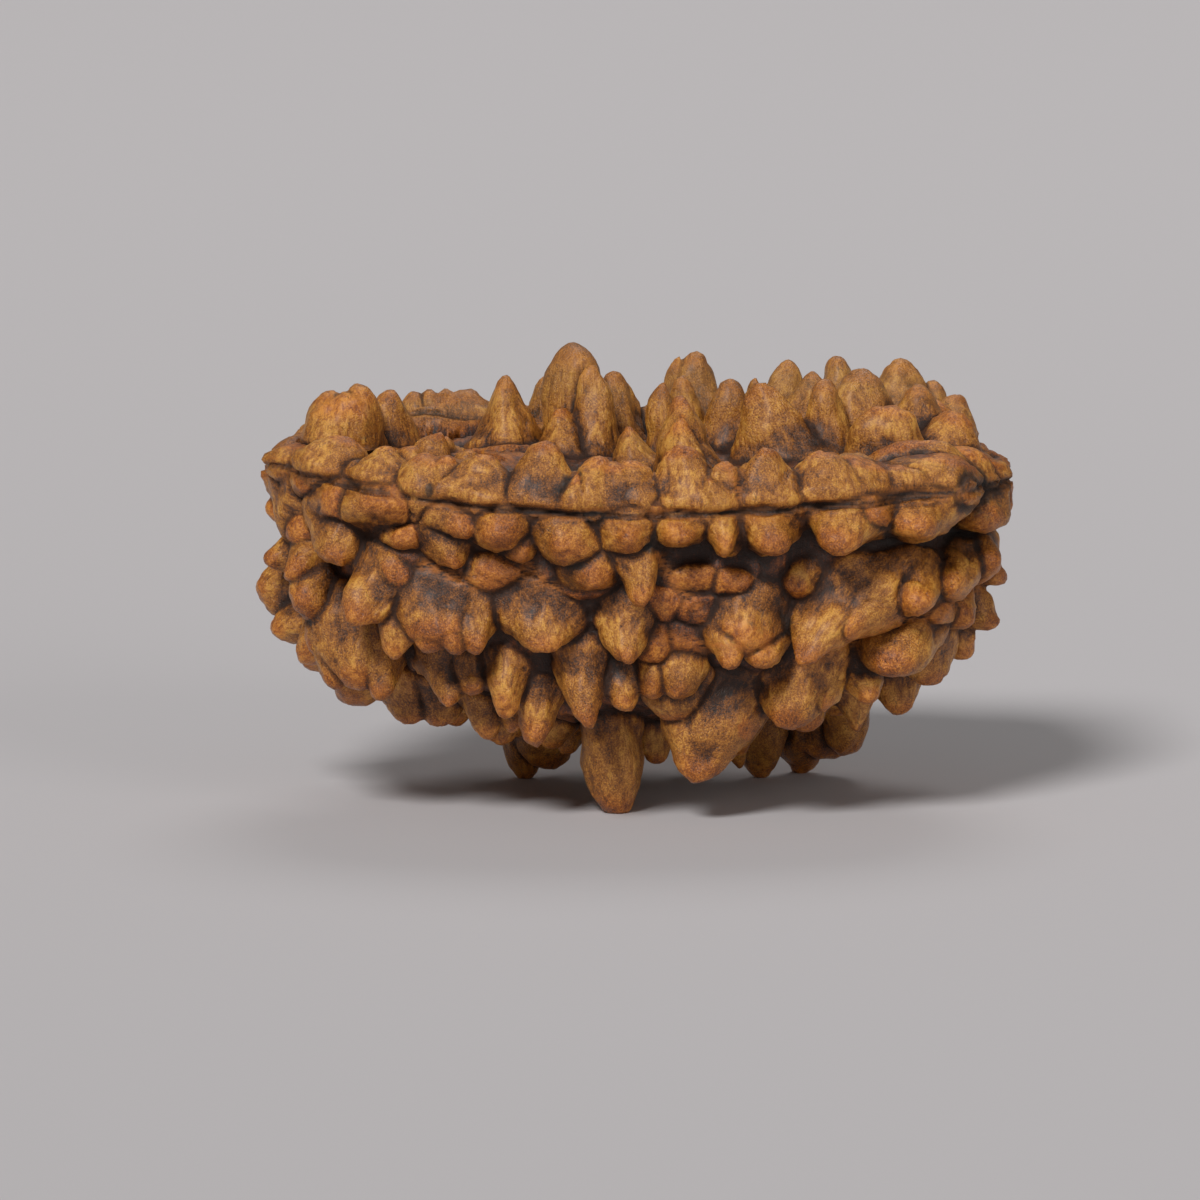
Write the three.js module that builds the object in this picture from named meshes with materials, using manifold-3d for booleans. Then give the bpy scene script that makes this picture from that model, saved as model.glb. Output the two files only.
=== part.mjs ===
// A rudraksha seed: the woody stone of Elaeocarpus, lying on its side.
// Millimetres, +Z up, +X along the seed from pole to pole, -Y towards the front.
// The seed is one solid: a bowl-shaped body, the seam that runs round its widest line,
// and the knobs that stand on it in rows. Heights in the tables are measured from the seam's plane.

import * as THREE from "three";
import { SimplifyModifier } from "three/addons/modifiers/SimplifyModifier.js";
import { mergeVertices } from "three/addons/utils/BufferGeometryUtils.js";
import Module from "manifold-3d";

const wasm = await Module();
wasm.setup();

// Driving dimensions
const bodyHalfLength = 13.3;
const bodyHalfDepth = 9.1;
const bodyBelowSeam = 9.6;
const bodyAboveSeam = 1.1;
const bodySquareness = 2.3;
const shoulder = { centre: [8.0, 2.6, 0], radii: [5.4, 5.4, 2.3] };
const seamLipRadius = 0.5;
const seamLipInset = 0.4;
const seamGrooveRadius = 0.2;
const seamSegments = 56;
const lipRoot = 0.72;
const restHeight = -12.75;
const rootDepth = 0.62;
const rootDrop = 1.8; // how far the roots of the knobs on the flat top dip below their feet
const knobFlare = 0.7; // how much wider a pointed knob is at its root
const rearSeed = 7;
const lumpSeed = 11;
const lumpShare = 0.09;
const sliver = 0.05;
const beadRadius = 0.14;
const keptVertices = 5600;

// The front half of the seam from the left pole to the right one; the rear half mirrors it.
const seamFront = [
  [-14.7, 0.0, 0.55],
  [-13.7, -3.6, 1.1],
  [-11.8, -6.2, 1.0],
  [-9.6, -7.8, 0.85],
  [-7.2, -8.8, 0.5],
  [-3.4, -9.7, 0.25],
  [0.2, -10.0, 0.15],
  [4.4, -9.6, 0.25],
  [8.4, -8.3, 0.45],
  [10.8, -6.9, 0.6],
  [12.8, -5.0, 0.55],
  [14.2, -2.6, 0.4],
  [14.6, 0.0, 0.3],
];

// Every knob: foot [x, y, z], tip [x, y, z], width along the seed, roundness from 0 (a point)
// to 1 (a bulb), and, where it is flattened or turned, its thickness and its turn in degrees.
const aboveSeam = [
  [[-13.5, -2.8, 1.1], [-13.4, -2.8, 1.75], 2.6, 0.9, 1.6],
  [[-12.1, -5.2, 1.2], [-11.7, -5.1, 2.5], 2.5, 0.65, 1.8],
  [[-10.2, -7.0, 1.1], [-10.0, -6.8, 2.45], 1.9, 0.65],
  [[-9.2, -5.8, 1.1], [-9.2, -5.8, 2.3], 1.3, 0.8],
  [[-8.3, -8.1, 0.9], [-8.2, -8.0, 1.95], 2.5, 1.0, 1.6],
  [[-8.7, -8.0, 0.9], [-8.65, -7.9, 2.15], 1.2, 0.8],
  [[-7.7, -8.3, 0.9], [-7.7, -8.2, 2.1], 1.2, 0.8],
  [[-6.2, -8.8, 0.8], [-5.9, -8.6, 2.4], 2.6, 0.55, 1.7],
  [[-4.1, -9.2, 0.7], [-3.8, -9.0, 2.95], 2.1, 0.65, 1.7],
  [[-2.7, -9.4, 0.6], [-2.7, -9.3, 1.4], 1.5, 0.9],
  [[-1.0, -9.3, 0.6], [-1.0, -9.2, 1.95], 3.4, 1.0, 1.7],
  [[-1.8, -9.3, 0.7], [-1.7, -9.2, 2.15], 1.5, 0.7],
  [[-0.3, -9.3, 0.7], [-0.3, -9.2, 2.15], 1.5, 0.7],
  [[1.8, -9.2, 0.6], [1.65, -9.0, 2.65], 2.1, 0.6, 1.7],
  [[1.8, -8.2, 0.8], [1.6, -7.4, 3.4], 1.7, 0.4],
  [[1.9, -7.2, 1.1], [1.5, -6.5, 4.4], 2.0, 0.4],
  [[2.7, -9.3, 0.6], [2.7, -9.2, 1.5], 2.2, 1.0, 1.6],
  [[3.2, -9.3, 0.6], [3.3, -9.2, 2.1], 1.2, 0.5],
  [[4.9, -9.0, 0.7], [4.9, -8.8, 2.7], 2.4, 0.7, 1.8],
  [[7.2, -8.3, 0.8], [7.1, -8.0, 2.4], 2.7, 0.6, 1.8],
  [[8.6, -7.7, 0.9], [8.8, -7.6, 1.8], 2.6, 1.0, 1.7],
  [[10.0, -7.0, 0.95], [10.0, -6.9, 1.55], 2.4, 1.0, 1.7],
  [[11.2, -6.3, 0.95], [11.4, -6.2, 1.9], 2.5, 0.9, 1.7],
  [[12.3, -5.3, 0.9], [12.4, -5.3, 1.4], 2.0, 1.0],
  [[10.7, -4.8, 1.0], [10.4, -4.9, 2.25], 3.8, 0.95, 1.4],
  [[13.0, -3.8, 0.9], [13.2, -3.9, 1.65], 2.3, 0.8, 1.3],
  [[13.7, -2.8, 0.8], [14.0, -3.2, 1.25], 1.9, 0.8, 1.2],
];

const belowSeam = [
  [[-13.0, -2.0, -0.3], [-15.1, -0.6, 0.5], 2.6, 0.2],
  [[-12.6, -2.8, -0.5], [-13.9, -3.4, -0.3], 2.4, 0.9],
  [[-12.4, -3.6, 0.3], [-13.0, -5.5, 0.75], 2.3, 1.0, 0.9],
  [[-10.3, -6.2, 0.1], [-10.2, -9.0, 0.45], 3.5, 0.95, 1.9, 12],
  [[-11.6, -4.8, 0.0], [-12.2, -7.4, 0.1], 2.5, 0.85, 2.2],
  [[-11.8, -5.4, -0.8], [-12.3, -7.6, -2.2], 2.3, 0.8],
  [[-9.2, -6.6, -1.0], [-9.2, -8.4, -1.0], 1.9, 1.0, 0.9],
  [[-9.6, -6.2, -1.9], [-11.4, -8.4, -4.5], 2.7, 0.7, 1.9],
  [[-9.5, -6.4, -2.1], [-9.7, -8.1, -2.9], 1.9, 0.9],
  [[-7.4, -7.4, 0.1], [-7.1, -9.9, -0.5], 2.1, 0.7, 2.0],
  [[-7.6, -7.4, -0.7], [-7.5, -9.1, -2.2], 2.0, 0.4],
  [[-5.5, -8.0, 0.0], [-5.6, -10.5, -0.65], 2.5, 0.7, 2.1],
  [[-4.9, -8.2, -0.7], [-4.7, -9.7, -1.6], 1.6, 0.6],
  [[-2.8, -8.2, -0.3], [-3.05, -11.0, -1.15], 2.9, 0.6, 2.6],
  [[-2.1, -8.2, -1.5], [-1.9, -10.2, -2.65], 2.4, 0.7],
  [[-0.5, -8.4, -0.1], [-0.5, -11.2, -0.8], 2.0, 0.7, 2.2],
  [[-0.3, -8.8, -1.0], [0.1, -10.5, -3.4], 1.9, 0.35, 2.0],
  [[1.4, -8.4, -0.1], [1.5, -10.95, -0.7], 2.2, 0.85, 1.7],
  [[3.3, -8.4, -0.1], [3.4, -10.7, -1.35], 1.3, 0.8, 2.1],
  [[5.0, -8.2, -0.1], [5.15, -10.9, -1.25], 2.4, 0.8, 2.3],
  [[8.1, -7.4, 0.1], [7.85, -10.4, -1.25], 2.9, 0.6, 2.3],
  [[9.0, -7.2, 0.2], [9.3, -9.4, 0.0], 2.0, 0.7, 1.4],
  [[11.1, -5.8, 0.1], [10.9, -9.0, -0.8], 3.0, 0.65, 2.3],
  [[12.2, -4.8, 0.3], [12.6, -7.1, 0.3], 2.2, 0.7, 1.3],
  [[13.2, -2.4, -0.3], [13.7, -5.1, -0.9], 2.4, 0.8, 1.9],
  [[13.4, -1.2, -0.3], [14.8, -2.2, -0.4], 1.8, 0.8, 1.4],
];

const lowCells = [
  [[-9.0, -6.6, -1.8], [-9.0, -7.9, -2.0], 1.4, 1.0],
  [[-5.6, -7.6, -2.3], [-5.6, -9.0, -2.45], 2.4, 1.0, 1.7],
  [[-2.0, -8.0, -2.9], [-2.0, -9.1, -3.0], 2.0, 1.0, 1.1],
  [[2.1, -8.2, -2.4], [2.1, -9.5, -2.5], 2.0, 1.0, 1.1],
  [[3.6, -8.2, -2.6], [3.7, -9.4, -2.8], 1.6, 1.0, 1.2],
  [[0.8, -8.0, -3.4], [0.8, -9.2, -3.6], 2.0, 1.0, 1.5],
  [[2.3, -7.8, -3.7], [2.3, -9.1, -3.9], 2.2, 1.0, 1.6],
  [[1.9, -7.6, -4.9], [1.9, -8.8, -5.1], 2.0, 1.0, 1.6],
  [[6.4, -7.4, -2.4], [6.3, -8.6, -3.1], 1.7, 0.7],
];

const upperLedge = [
  [[-7.9, -6.8, -2.9], [-8.0, -8.6, -5.1], 4.2, 0.9, 2.3],
  [[-9.5, -6.4, -3.4], [-9.75, -7.9, -6.0], 2.0, 0.7],
  [[-8.3, -6.8, -3.8], [-8.3, -8.6, -5.6], 1.5, 0.6],
  [[-7.3, -7.0, -3.8], [-7.3, -9.0, -5.4], 1.4, 0.6],
  [[-6.4, -7.2, -3.4], [-6.5, -9.2, -5.45], 1.7, 0.5],
  [[-3.8, -7.6, -3.8], [-3.6, -9.5, -5.4], 3.3, 0.35, 2.1],
  [[-0.6, -7.8, -3.8], [-0.7, -9.9, -5.85], 2.1, 0.6],
  [[0.6, -7.2, -4.9], [0.6, -8.6, -5.2], 1.9, 0.9],
  [[0.5, -6.6, -5.9], [0.4, -8.3, -7.4], 1.6, 0.7],
  [[1.6, -6.8, -5.6], [1.6, -8.7, -7.5], 1.9, 0.4],
  [[4.2, -7.2, -3.5], [4.2, -9.3, -5.2], 3.3, 0.8, 3.0],
  [[3.3, -7.6, -4.4], [3.5, -9.8, -6.05], 1.6, 0.6],
  [[4.9, -7.1, -5.0], [4.9, -9.4, -6.1], 1.6, 0.7],
  [[8.2, -6.8, -3.3], [6.2, -9.5, -6.0], 2.8, 0.25, 2.0],
  [[9.6, -6.2, -3.3], [8.2, -8.9, -4.9], 2.2, 0.45],
  [[11.0, -5.4, -3.2], [10.95, -8.3, -3.75], 2.0, 0.85],
  [[12.4, -3.8, -2.8], [12.6, -6.6, -3.3], 1.9, 0.8],
  [[13.2, -2.0, -2.5], [14.0, -4.4, -2.8], 2.0, 0.8],
];

const lowerLedge = [
  [[-11.0, -4.6, -5.2], [-11.2, -6.0, -7.4], 3.4, 0.8, 2.4],
  [[-10.2, -5.0, -5.6], [-10.4, -6.4, -7.9], 1.9, 0.5],
  [[-11.8, -4.4, -5.4], [-12.2, -5.2, -7.5], 1.7, 0.6],
  [[-12.0, -2.4, -5.0], [-13.4, -3.4, -6.9], 2.0, 0.7],
  [[-12.0, -3.0, -4.8], [-12.7, -4.9, -6.0], 1.8, 0.7],
  [[-7.6, -5.4, -6.3], [-7.6, -7.0, -8.15], 1.8, 0.2],
  [[-6.7, -5.8, -6.0], [-6.7, -7.1, -7.6], 1.6, 0.8],
  [[-5.3, -6.0, -5.4], [-5.3, -7.9, -8.2], 2.0, 1.0],
  [[-3.8, -5.6, -6.2], [-4.2, -7.0, -9.35], 2.0, 0.75],
  [[-2.5, -6.8, -5.0], [-2.0, -8.9, -8.6], 2.2, 0.6, 2.0],
  [[-1.0, -6.6, -6.2], [-0.5, -8.3, -7.9], 1.9, 0.6],
  [[3.1, -5.2, -6.8], [2.0, -6.8, -11.1], 3.8, 0.6, 3.0],
  [[4.1, -5.0, -6.8], [3.7, -6.6, -9.3], 2.6, 0.8],
  [[6.3, -5.6, -6.4], [5.75, -7.5, -8.95], 3.0, 0.65],
  [[7.1, -5.4, -6.5], [7.15, -7.2, -8.0], 1.6, 0.7],
  [[10.2, -4.8, -5.4], [9.9, -7.8, -6.55], 3.1, 0.8, 2.4],
  [[8.6, -5.4, -6.8], [9.1, -6.6, -7.9], 1.6, 0.5],
  [[11.4, -3.8, -4.4], [12.0, -6.2, -4.5], 1.9, 0.7, 1.3],
];

const underside = [
  [[-11.0, -2.0, -7.0], [-11.6, -2.8, -8.65], 2.7, 0.7],
  [[-9.3, -2.6, -7.8], [-9.2, -3.4, -9.4], 1.9, 0.5],
  [[-8.0, -2.8, -8.0], [-8.1, -3.6, -9.45], 2.0, 0.6],
  [[-6.1, -4.0, -8.0], [-6.2, -4.9, -9.65], 1.8, 0.6],
  [[-5.0, -4.2, -8.2], [-4.9, -5.2, -9.3], 1.7, 0.7],
  [[-3.8, 2.8, -8.6], [-3.8, 3.4, -12.15], 3.2, 0.95, 2.4],
  [[4.0, 1.0, -8.9], [4.0, 1.4, -12.0], 1.5, 0.6],
  [[7.4, 4.0, -8.0], [7.5, 4.7, -12.0], 3.8, 0.95, 2.8],
  [[8.2, 3.2, -8.0], [8.3, 3.8, -11.85], 2.4, 0.85],
  [[6.6, -3.0, -8.2], [6.7, -4.0, -9.4], 1.9, 0.7],
  [[8.4, -2.2, -7.8], [8.7, -2.8, -9.9], 1.8, 0.6],
  [[10.2, -0.4, -7.0], [10.5, -0.9, -9.35], 2.4, 0.7],
  [[11.2, -2.4, -6.2], [11.8, -3.2, -7.8], 2.2, 0.6],
];

// The knobs that the seed stands on.
const standing = [
  [[-1.1, -3.6, -8.8], [-1.0, -4.1, -12.87], 2.75, 1.3],
  [[-4.7, 3.4, -8.4], [-4.7, 4.1, -12.9], 1.9, 1.2],
  [[4.8, 3.4, -8.6], [4.8, 4.1, -12.9], 2.1, 1.2],
  [[6.4, 4.6, -8.0], [6.5, 5.4, -12.9], 2.4, 1.2],
];

const leftPole = [
  [[-12.4, -2.6, -1.4], [-13.7, -4.3, -1.5], 1.9, 0.9],
  [[-13.0, -0.6, -0.8], [-14.8, -1.2, -1.0], 1.9, 0.9],
  [[-12.8, -1.6, -2.6], [-15.0, -2.4, -2.9], 1.9, 0.8],
  [[-12.6, -3.2, -2.4], [-13.9, -4.9, -3.0], 1.8, 0.9],
  [[-12.6, -3.6, -3.6], [-13.6, -5.4, -4.2], 2.0, 0.9],
  [[-12.8, 0.0, -4.2], [-15.5, -0.2, -4.5], 2.6, 0.7],
  [[-12.4, -0.8, -5.2], [-14.7, -1.2, -6.0], 2.2, 0.7],
  [[-11.8, -0.6, -6.2], [-13.5, -1.0, -7.25], 2.2, 0.5],
  [[-13.0, 2.2, -0.9], [-14.8, 3.0, -1.5], 1.7, 0.7],
  [[-12.4, 3.4, 0.5], [-13.4, 4.0, 1.3], 2.6, 0.7],
];

const rightPole = [
  [[12.2, -2.8, -4.4], [13.1, -4.8, -4.8], 1.8, 0.7],
  [[12.6, -1.0, -4.6], [14.3, -2.0, -5.45], 1.8, 0.6],
  [[12.0, -0.8, -5.6], [13.3, -1.4, -6.75], 1.9, 0.6],
  [[13.0, -0.6, -3.2], [14.6, -1.2, -3.85], 1.7, 0.7],
  [[13.2, 0.6, 0.2], [14.2, 1.0, 0.85], 2.0, 0.7],
];

const crown = [
  [[-12.4, -1.8, 1.5], [-12.5, -2.1, 3.88], 1.5, 0.9, 1.8],
  [[-11.8, -1.9, 0.8], [-11.85, -2.3, 3.65], 3.0, 1.5, 2.8],
  [[-11.1, -1.9, 1.5], [-11.15, -2.3, 3.98], 1.7, 0.8, 1.9],
  [[-10.0, 0.0, 1.0], [-10.2, 0.0, 3.75], 2.2, 0.9],
  [[-8.4, -4.0, 1.0], [-8.1, -4.0, 2.6], 1.3, 0.4],
  [[-7.7, -3.0, 1.0], [-7.7, -3.0, 2.3], 1.0, 0.6],
  [[-7.0, -4.6, 1.0], [-6.9, -4.5, 2.0], 1.2, 0.6],
  [[-5.3, -0.2, 1.0], [-5.35, 0.0, 4.15], 2.3, 0.4],
  [[-3.1, -1.4, 1.0], [-3.2, -1.0, 3.05], 1.6, 0.5],
  [[-1.8, -0.8, 1.0], [-1.85, -0.5, 4.7], 1.8, 0.6],
  [[-2.6, 1.0, 1.0], [-2.7, 1.0, 5.33], 2.7, 1.5],
  [[-3.7, 4.6, 1.0], [-3.6, 5.0, 3.55], 1.9, 0.6],
  [[-1.0, 4.6, 1.0], [-1.0, 5.0, 3.65], 2.0, 0.6],
  [[-0.9, 2.0, 1.0], [-0.9, 2.4, 4.0], 1.8, 0.8],
  [[-0.2, -3.6, 0.9], [-0.4, -3.5, 2.7], 1.5, 0.35],
  [[0.9, -1.2, 1.0], [0.9, -1.0, 4.2], 1.4, 0.7],
  [[2.2, 5.6, 1.2], [2.3, 6.0, 4.25], 2.2, 0.5],
  [[1.4, 5.6, 1.2], [1.5, 6.0, 4.0], 1.4, 0.6],
  [[1.7, 1.8, 1.2], [1.7, 2.0, 3.85], 1.5, 0.6],
  [[3.4, 0.6, 0.8], [3.6, 1.0, 3.95], 2.2, 1.0, 1.6],
  [[5.6, -2.2, 0.8], [4.6, -2.0, 4.25], 3.2, 0.2, 1.7],
  [[5.7, 4.6, 1.6], [5.8, 5.0, 4.2], 2.0, 0.6],
  [[4.6, 2.8, 1.4], [4.6, 3.0, 3.8], 1.3, 0.6],
  [[6.8, 1.4, 1.8], [6.9, 1.5, 4.3], 2.0, 0.55],
  [[7.4, -1.8, 0.9], [7.5, -1.3, 4.35], 1.8, 1.1],
  [[8.0, 5.4, 1.4], [8.0, 6.0, 4.2], 2.2, 0.6],
  [[8.8, 0.8, 1.8], [8.9, 1.0, 4.25], 2.6, 0.8],
  [[9.8, -3.2, 0.9], [9.9, -3.0, 3.6], 3.3, 1.2, 2.0],
  [[11.0, 0.0, 1.4], [11.0, 0.0, 3.9], 2.2, 0.8],
  [[10.3, 4.6, 1.4], [10.5, 5.0, 4.0], 2.8, 0.7],
  [[11.7, 4.8, 1.0], [11.8, 5.4, 3.15], 1.7, 0.7],
  [[12.2, 3.4, 0.8], [12.9, 4.0, 2.75], 2.2, 0.6],
  [[12.0, -1.6, 0.9], [12.5, -1.5, 2.9], 2.8, 0.8],
  [[11.8, 1.0, 1.0], [12.0, 1.0, 3.0], 2.0, 0.7],
];

// The wall of blunt knobs behind the hollow at the left of the crown.
const rearWall = [
  [[-7.6, 7.1, 0.4], [-7.7, 7.4, 2.25], 5.2, 1.0, 1.8],
  [[-9.1, 6.9, 0.8], [-9.2, 7.3, 2.4], 1.2, 0.9],
  [[-8.4, 7.0, 0.8], [-8.5, 7.4, 2.45], 1.2, 0.9],
  [[-7.7, 7.1, 0.8], [-7.8, 7.4, 2.4], 1.1, 0.9],
  [[-6.8, 7.2, 0.8], [-6.9, 7.5, 2.35], 1.4, 0.9],
  [[-4.8, 7.5, 0.4], [-4.8, 7.9, 1.9], 3.0, 1.0, 1.8],
];

// Rows on the rear face: the angle below the seam, how far the knobs stand out, their droop
// and their spacing along the seed.
const rearRows = [
  { below: -9, height: 1.5, droop: -0.9, spacing: 2.5, reach: 0.9 },
  { below: 8, height: 2.1, droop: 0.2, spacing: 2.6, reach: 0.95 },
  { below: 38, height: 2.0, droop: 0.9, spacing: 2.6, reach: 0.9 },
  { below: 62, height: 2.1, droop: 0.9, spacing: 2.8, reach: 0.84 },
];

// Small knobs fill what the named ones leave bare, on the crown and underneath. They stay below
// the skyline: from each x on, the height that they may reach at the middle of the seed.
const fillerSeed = 23;
const fillerSpacing = 2.3;
const fillerRoom = 1.55;
const fillerReach = 0.84;
const skyline = [
  [-14.0, 2.4],
  [-9.0, 1.0],
  [-3.6, 1.8],
  [-0.8, 1.2],
  [1.2, 2.3],
];
const skylineFall = 0.16;
const bareCentre = [-6.4, 1.8]; // the smooth hollow in the crown
const bareRadius = 3.3;
const crownFront = -2.2; // no small knobs on the crown nearer the viewer than this

// A small repeatable random source, so that every build gives the same seed.
function randomFrom(seed) {
  let state = seed;
  return () => {
    state = (state * 16807) % 2147483647;
    return state / 2147483647;
  };
}

// How far along its own ray from the middle a point lies: 1 on the body's surface.
function bodyReach(x, y, z) {
  const height = z < 0 ? bodyBelowSeam : bodyAboveSeam;
  const terms = [x / bodyHalfLength, y / bodyHalfDepth, z / height];
  const sum = terms.reduce((total, term) => total + Math.abs(term) ** bodySquareness, 0);
  return sum ** (1 / bodySquareness);
}

// The point of the rear face at a given x and angle below the seam.
function rearPoint(x, angle) {
  const across = Math.cos(angle);
  const down = -Math.sin(angle);
  const along = Math.abs(x / bodyHalfLength) ** bodySquareness;
  const scale = (1 - along) ** (1 / bodySquareness) / bodyReach(0, across, down);
  return new THREE.Vector3(x, across * scale, down * scale);
}

function rearKnobs() {
  const random = randomFrom(rearSeed);
  const knobs = [];
  rearRows.forEach(({ below, height, droop, spacing, reach }, row) => {
    const limit = bodyHalfLength * reach;
    const count = Math.round((2 * limit) / spacing);
    for (let i = 0; i < count; i += 1) {
      const x = -limit + (2 * limit * (i + 0.5 + 0.3 * (row % 2))) / count + 0.5 * (random() - 0.5);
      if (below < 0 && x < -3.6) continue;
      const angle = THREE.MathUtils.degToRad(below + 5 * (random() - 0.5));
      const foot = rearPoint(x, angle).multiplyScalar(0.93);
      const out = foot.clone().setX(foot.x * 0.35).normalize();
      const length = height * (0.8 + 0.5 * random());
      const tip = foot.clone().addScaledVector(out, length + 0.5);
      tip.z -= droop;
      const width = spacing * (0.75 + 0.25 * random());
      knobs.push([foot.toArray(), tip.toArray(), width, 0.5 + 0.4 * random()]);
    }
  });
  return knobs;
}

function bodyHeight(x, y, side) {
  const flat = bodyReach(x, y, 0) ** bodySquareness;
  return side * (side < 0 ? bodyBelowSeam : bodyAboveSeam) * Math.max(0, 1 - flat) ** (1 / bodySquareness);
}

function fillerKnobs(side, standingNear) {
  const random = randomFrom(fillerSeed + side);
  const knobs = [];
  for (let row = -4; row <= 4; row += 1) {
    for (let column = -6; column <= 6; column += 1) {
      const x = (column + 0.5 * (row % 2) + 0.5 * (random() - 0.5)) * fillerSpacing;
      const y = (row + 0.5 * (random() - 0.5)) * fillerSpacing * 0.9;
      const [heightShare, widthShare, roundness] = [random(), random(), random()];
      if (bodyReach(x, y, 0) > fillerReach) continue;
      const fromBare = Math.hypot(x - bareCentre[0], y - bareCentre[1]);
      if (side > 0 && (fromBare < bareRadius || y < crownFront)) continue;
      const crowded = standingNear.some(([foot]) => Math.hypot(foot[0] - x, foot[1] - y) < fillerRoom);
      if (crowded) continue;
      const base = bodyHeight(x, y, side);
      const [, limit] = skyline.filter(([from]) => x >= from).pop();
      const top = side > 0 ? Math.max(base + 0.5, limit - skylineFall * y) : base - 1.1;
      const tip = top + side * (side > 0 ? -0.5 : 0.6) * heightShare;
      const width = 1.6 + 0.8 * widthShare;
      knobs.push([[x, y, base * 0.95], [x * 1.03, y * 1.03, tip], width, 0.5 + 0.4 * roundness]);
    }
  }
  return knobs;
}

function solid(geometry) {
  const bare = geometry.clone();
  bare.deleteAttribute("normal");
  bare.deleteAttribute("uv");
  const merged = mergeVertices(bare, 1e-3);
  return new wasm.Manifold(
    new wasm.Mesh({
      numProp: 3,
      vertProperties: new Float32Array(merged.attributes.position.array),
      triVerts: new Uint32Array(merged.index.array),
    }),
  );
}

// The body: a ball pushed out to the rounded bowl, with its poles on the seed's own poles.
function bodySolid() {
  const ball = new THREE.SphereGeometry(1, 28, 24);
  ball.rotateZ(Math.PI / 2);
  const places = ball.attributes.position;
  for (let i = 0; i < places.count; i += 1) {
    const point = new THREE.Vector3().fromBufferAttribute(places, i);
    point.divideScalar(bodyReach(point.x, point.y, point.z));
    places.setXYZ(i, point.x, point.y, point.z);
  }
  const dome = new THREE.SphereGeometry(1, 14, 10);
  dome.scale(...shoulder.radii);
  dome.translate(...shoulder.centre);
  return solid(ball).add(solid(dome));
}

function seamCurve(inset) {
  const front = seamFront.map((point) => new THREE.Vector3(...point));
  const rear = seamFront.slice(1, -1).reverse();
  rear.forEach(([x, y, z]) => front.push(new THREE.Vector3(x, -y, z)));
  const points = front.map((point) => {
    const flat = new THREE.Vector3(point.x, point.y, 0);
    const shorter = 1 - inset / flat.length();
    return new THREE.Vector3(point.x * shorter, point.y * shorter, point.z);
  });
  return new THREE.CatmullRomCurve3(points, true);
}

// The seam's raised lip: a tube whose inner side is drawn into the body, so that it has no gap
// behind it.
function seamLip() {
  const tube = new THREE.TubeGeometry(seamCurve(seamLipInset), seamSegments, seamLipRadius, 8, true);
  const centre = seamCurve(seamLipInset);
  const places = tube.attributes.position;
  for (let i = 0; i < places.count; i += 1) {
    const middle = centre.getPointAt(Math.floor(i / 9) / seamSegments);
    const [x, y] = [places.getX(i), places.getY(i)];
    const inward = Math.hypot(middle.x, middle.y) - Math.hypot(x, y);
    if (inward > seamLipRadius / 10) places.setXYZ(i, x * lipRoot, y * lipRoot, places.getZ(i));
  }
  return solid(tube);
}

// Where a knob's rings lie from its tip to its foot, as shares of its height.
const knobRings = [1.0, 0.96, 0.84, 0.62, 0.32, 0.0];

// A knob's radius at a share of its height: a rounded cone, fuller and less flared when bulbous.
function knobRadius(up, roundness) {
  const power = 1.35 + 0.8 * roundness;
  const flare = 1 + knobFlare * (1.3 - roundness) * (1 - up) ** 3;
  return (1 - up ** power) ** (1 / power) * flare;
}

const lump = randomFrom(lumpSeed);

function knobSolid([footAt, tipAt, width, roundness, thickness = width, turn = 0]) {
  const foot = new THREE.Vector3(...footAt);
  const tip = new THREE.Vector3(...tipAt);
  const axis = tip.clone().sub(foot);
  const height = axis.length();
  axis.normalize();
  const along = Math.abs(axis.x) > 0.8 ? new THREE.Vector3(0, 0, 1) : new THREE.Vector3(1, 0, 0);
  const side = along.addScaledVector(axis, -along.dot(axis)).normalize();
  side.applyAxisAngle(axis, THREE.MathUtils.degToRad(turn));
  const other = new THREE.Vector3().crossVectors(side, axis);
  const root = foot.clone().multiplyScalar(rootDepth / Math.max(1, bodyReach(...footAt)));
  if (foot.z > -0.5) root.z -= rootDrop;

  const sides = width > 1.4 ? 10 : 8;
  const lastRing = knobRings.length + 1;
  const ball = new THREE.SphereGeometry(1, sides, lastRing);
  const lumps = Array.from({ length: (lastRing + 1) * sides }, lump);
  const places = ball.attributes.position;
  for (let i = 0; i < places.count; i += 1) {
    const [x, y, z] = [places.getX(i), places.getY(i), places.getZ(i)];
    const ring = Math.round((Math.acos(THREE.MathUtils.clamp(y, -1, 1)) / Math.PI) * lastRing);
    const flat = Math.hypot(x, z) || 1;
    const up = knobRings[ring] ?? 0;
    const smooth = ring === lastRing ? 0 : knobRadius(up, roundness) * (ring < knobRings.length ? 1 : 0.8);
    const radius = smooth * (1 + lumpShare * (2 * lumps[ring * sides + (i % (sides + 1)) % sides] - 1));
    const point = ring < knobRings.length ? foot.clone().addScaledVector(axis, up * height) : root.clone();
    point.addScaledVector(side, ((x / flat) * radius * width) / 2);
    point.addScaledVector(other, ((z / flat) * radius * thickness) / 2);
    if (ring === lastRing) point.addScaledVector(axis, -0.3);
    places.setXYZ(i, point.x, point.y, point.z);
  }
  return solid(ball);
}

// Pockets that neighbouring knobs close between them are filled, and loose scraps are dropped.
function outerSkin(made) {
  const skins = made.decompose();
  return skins.reduce((largest, skin) => (skin.volume() > largest.volume() ? skin : largest));
}

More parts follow.
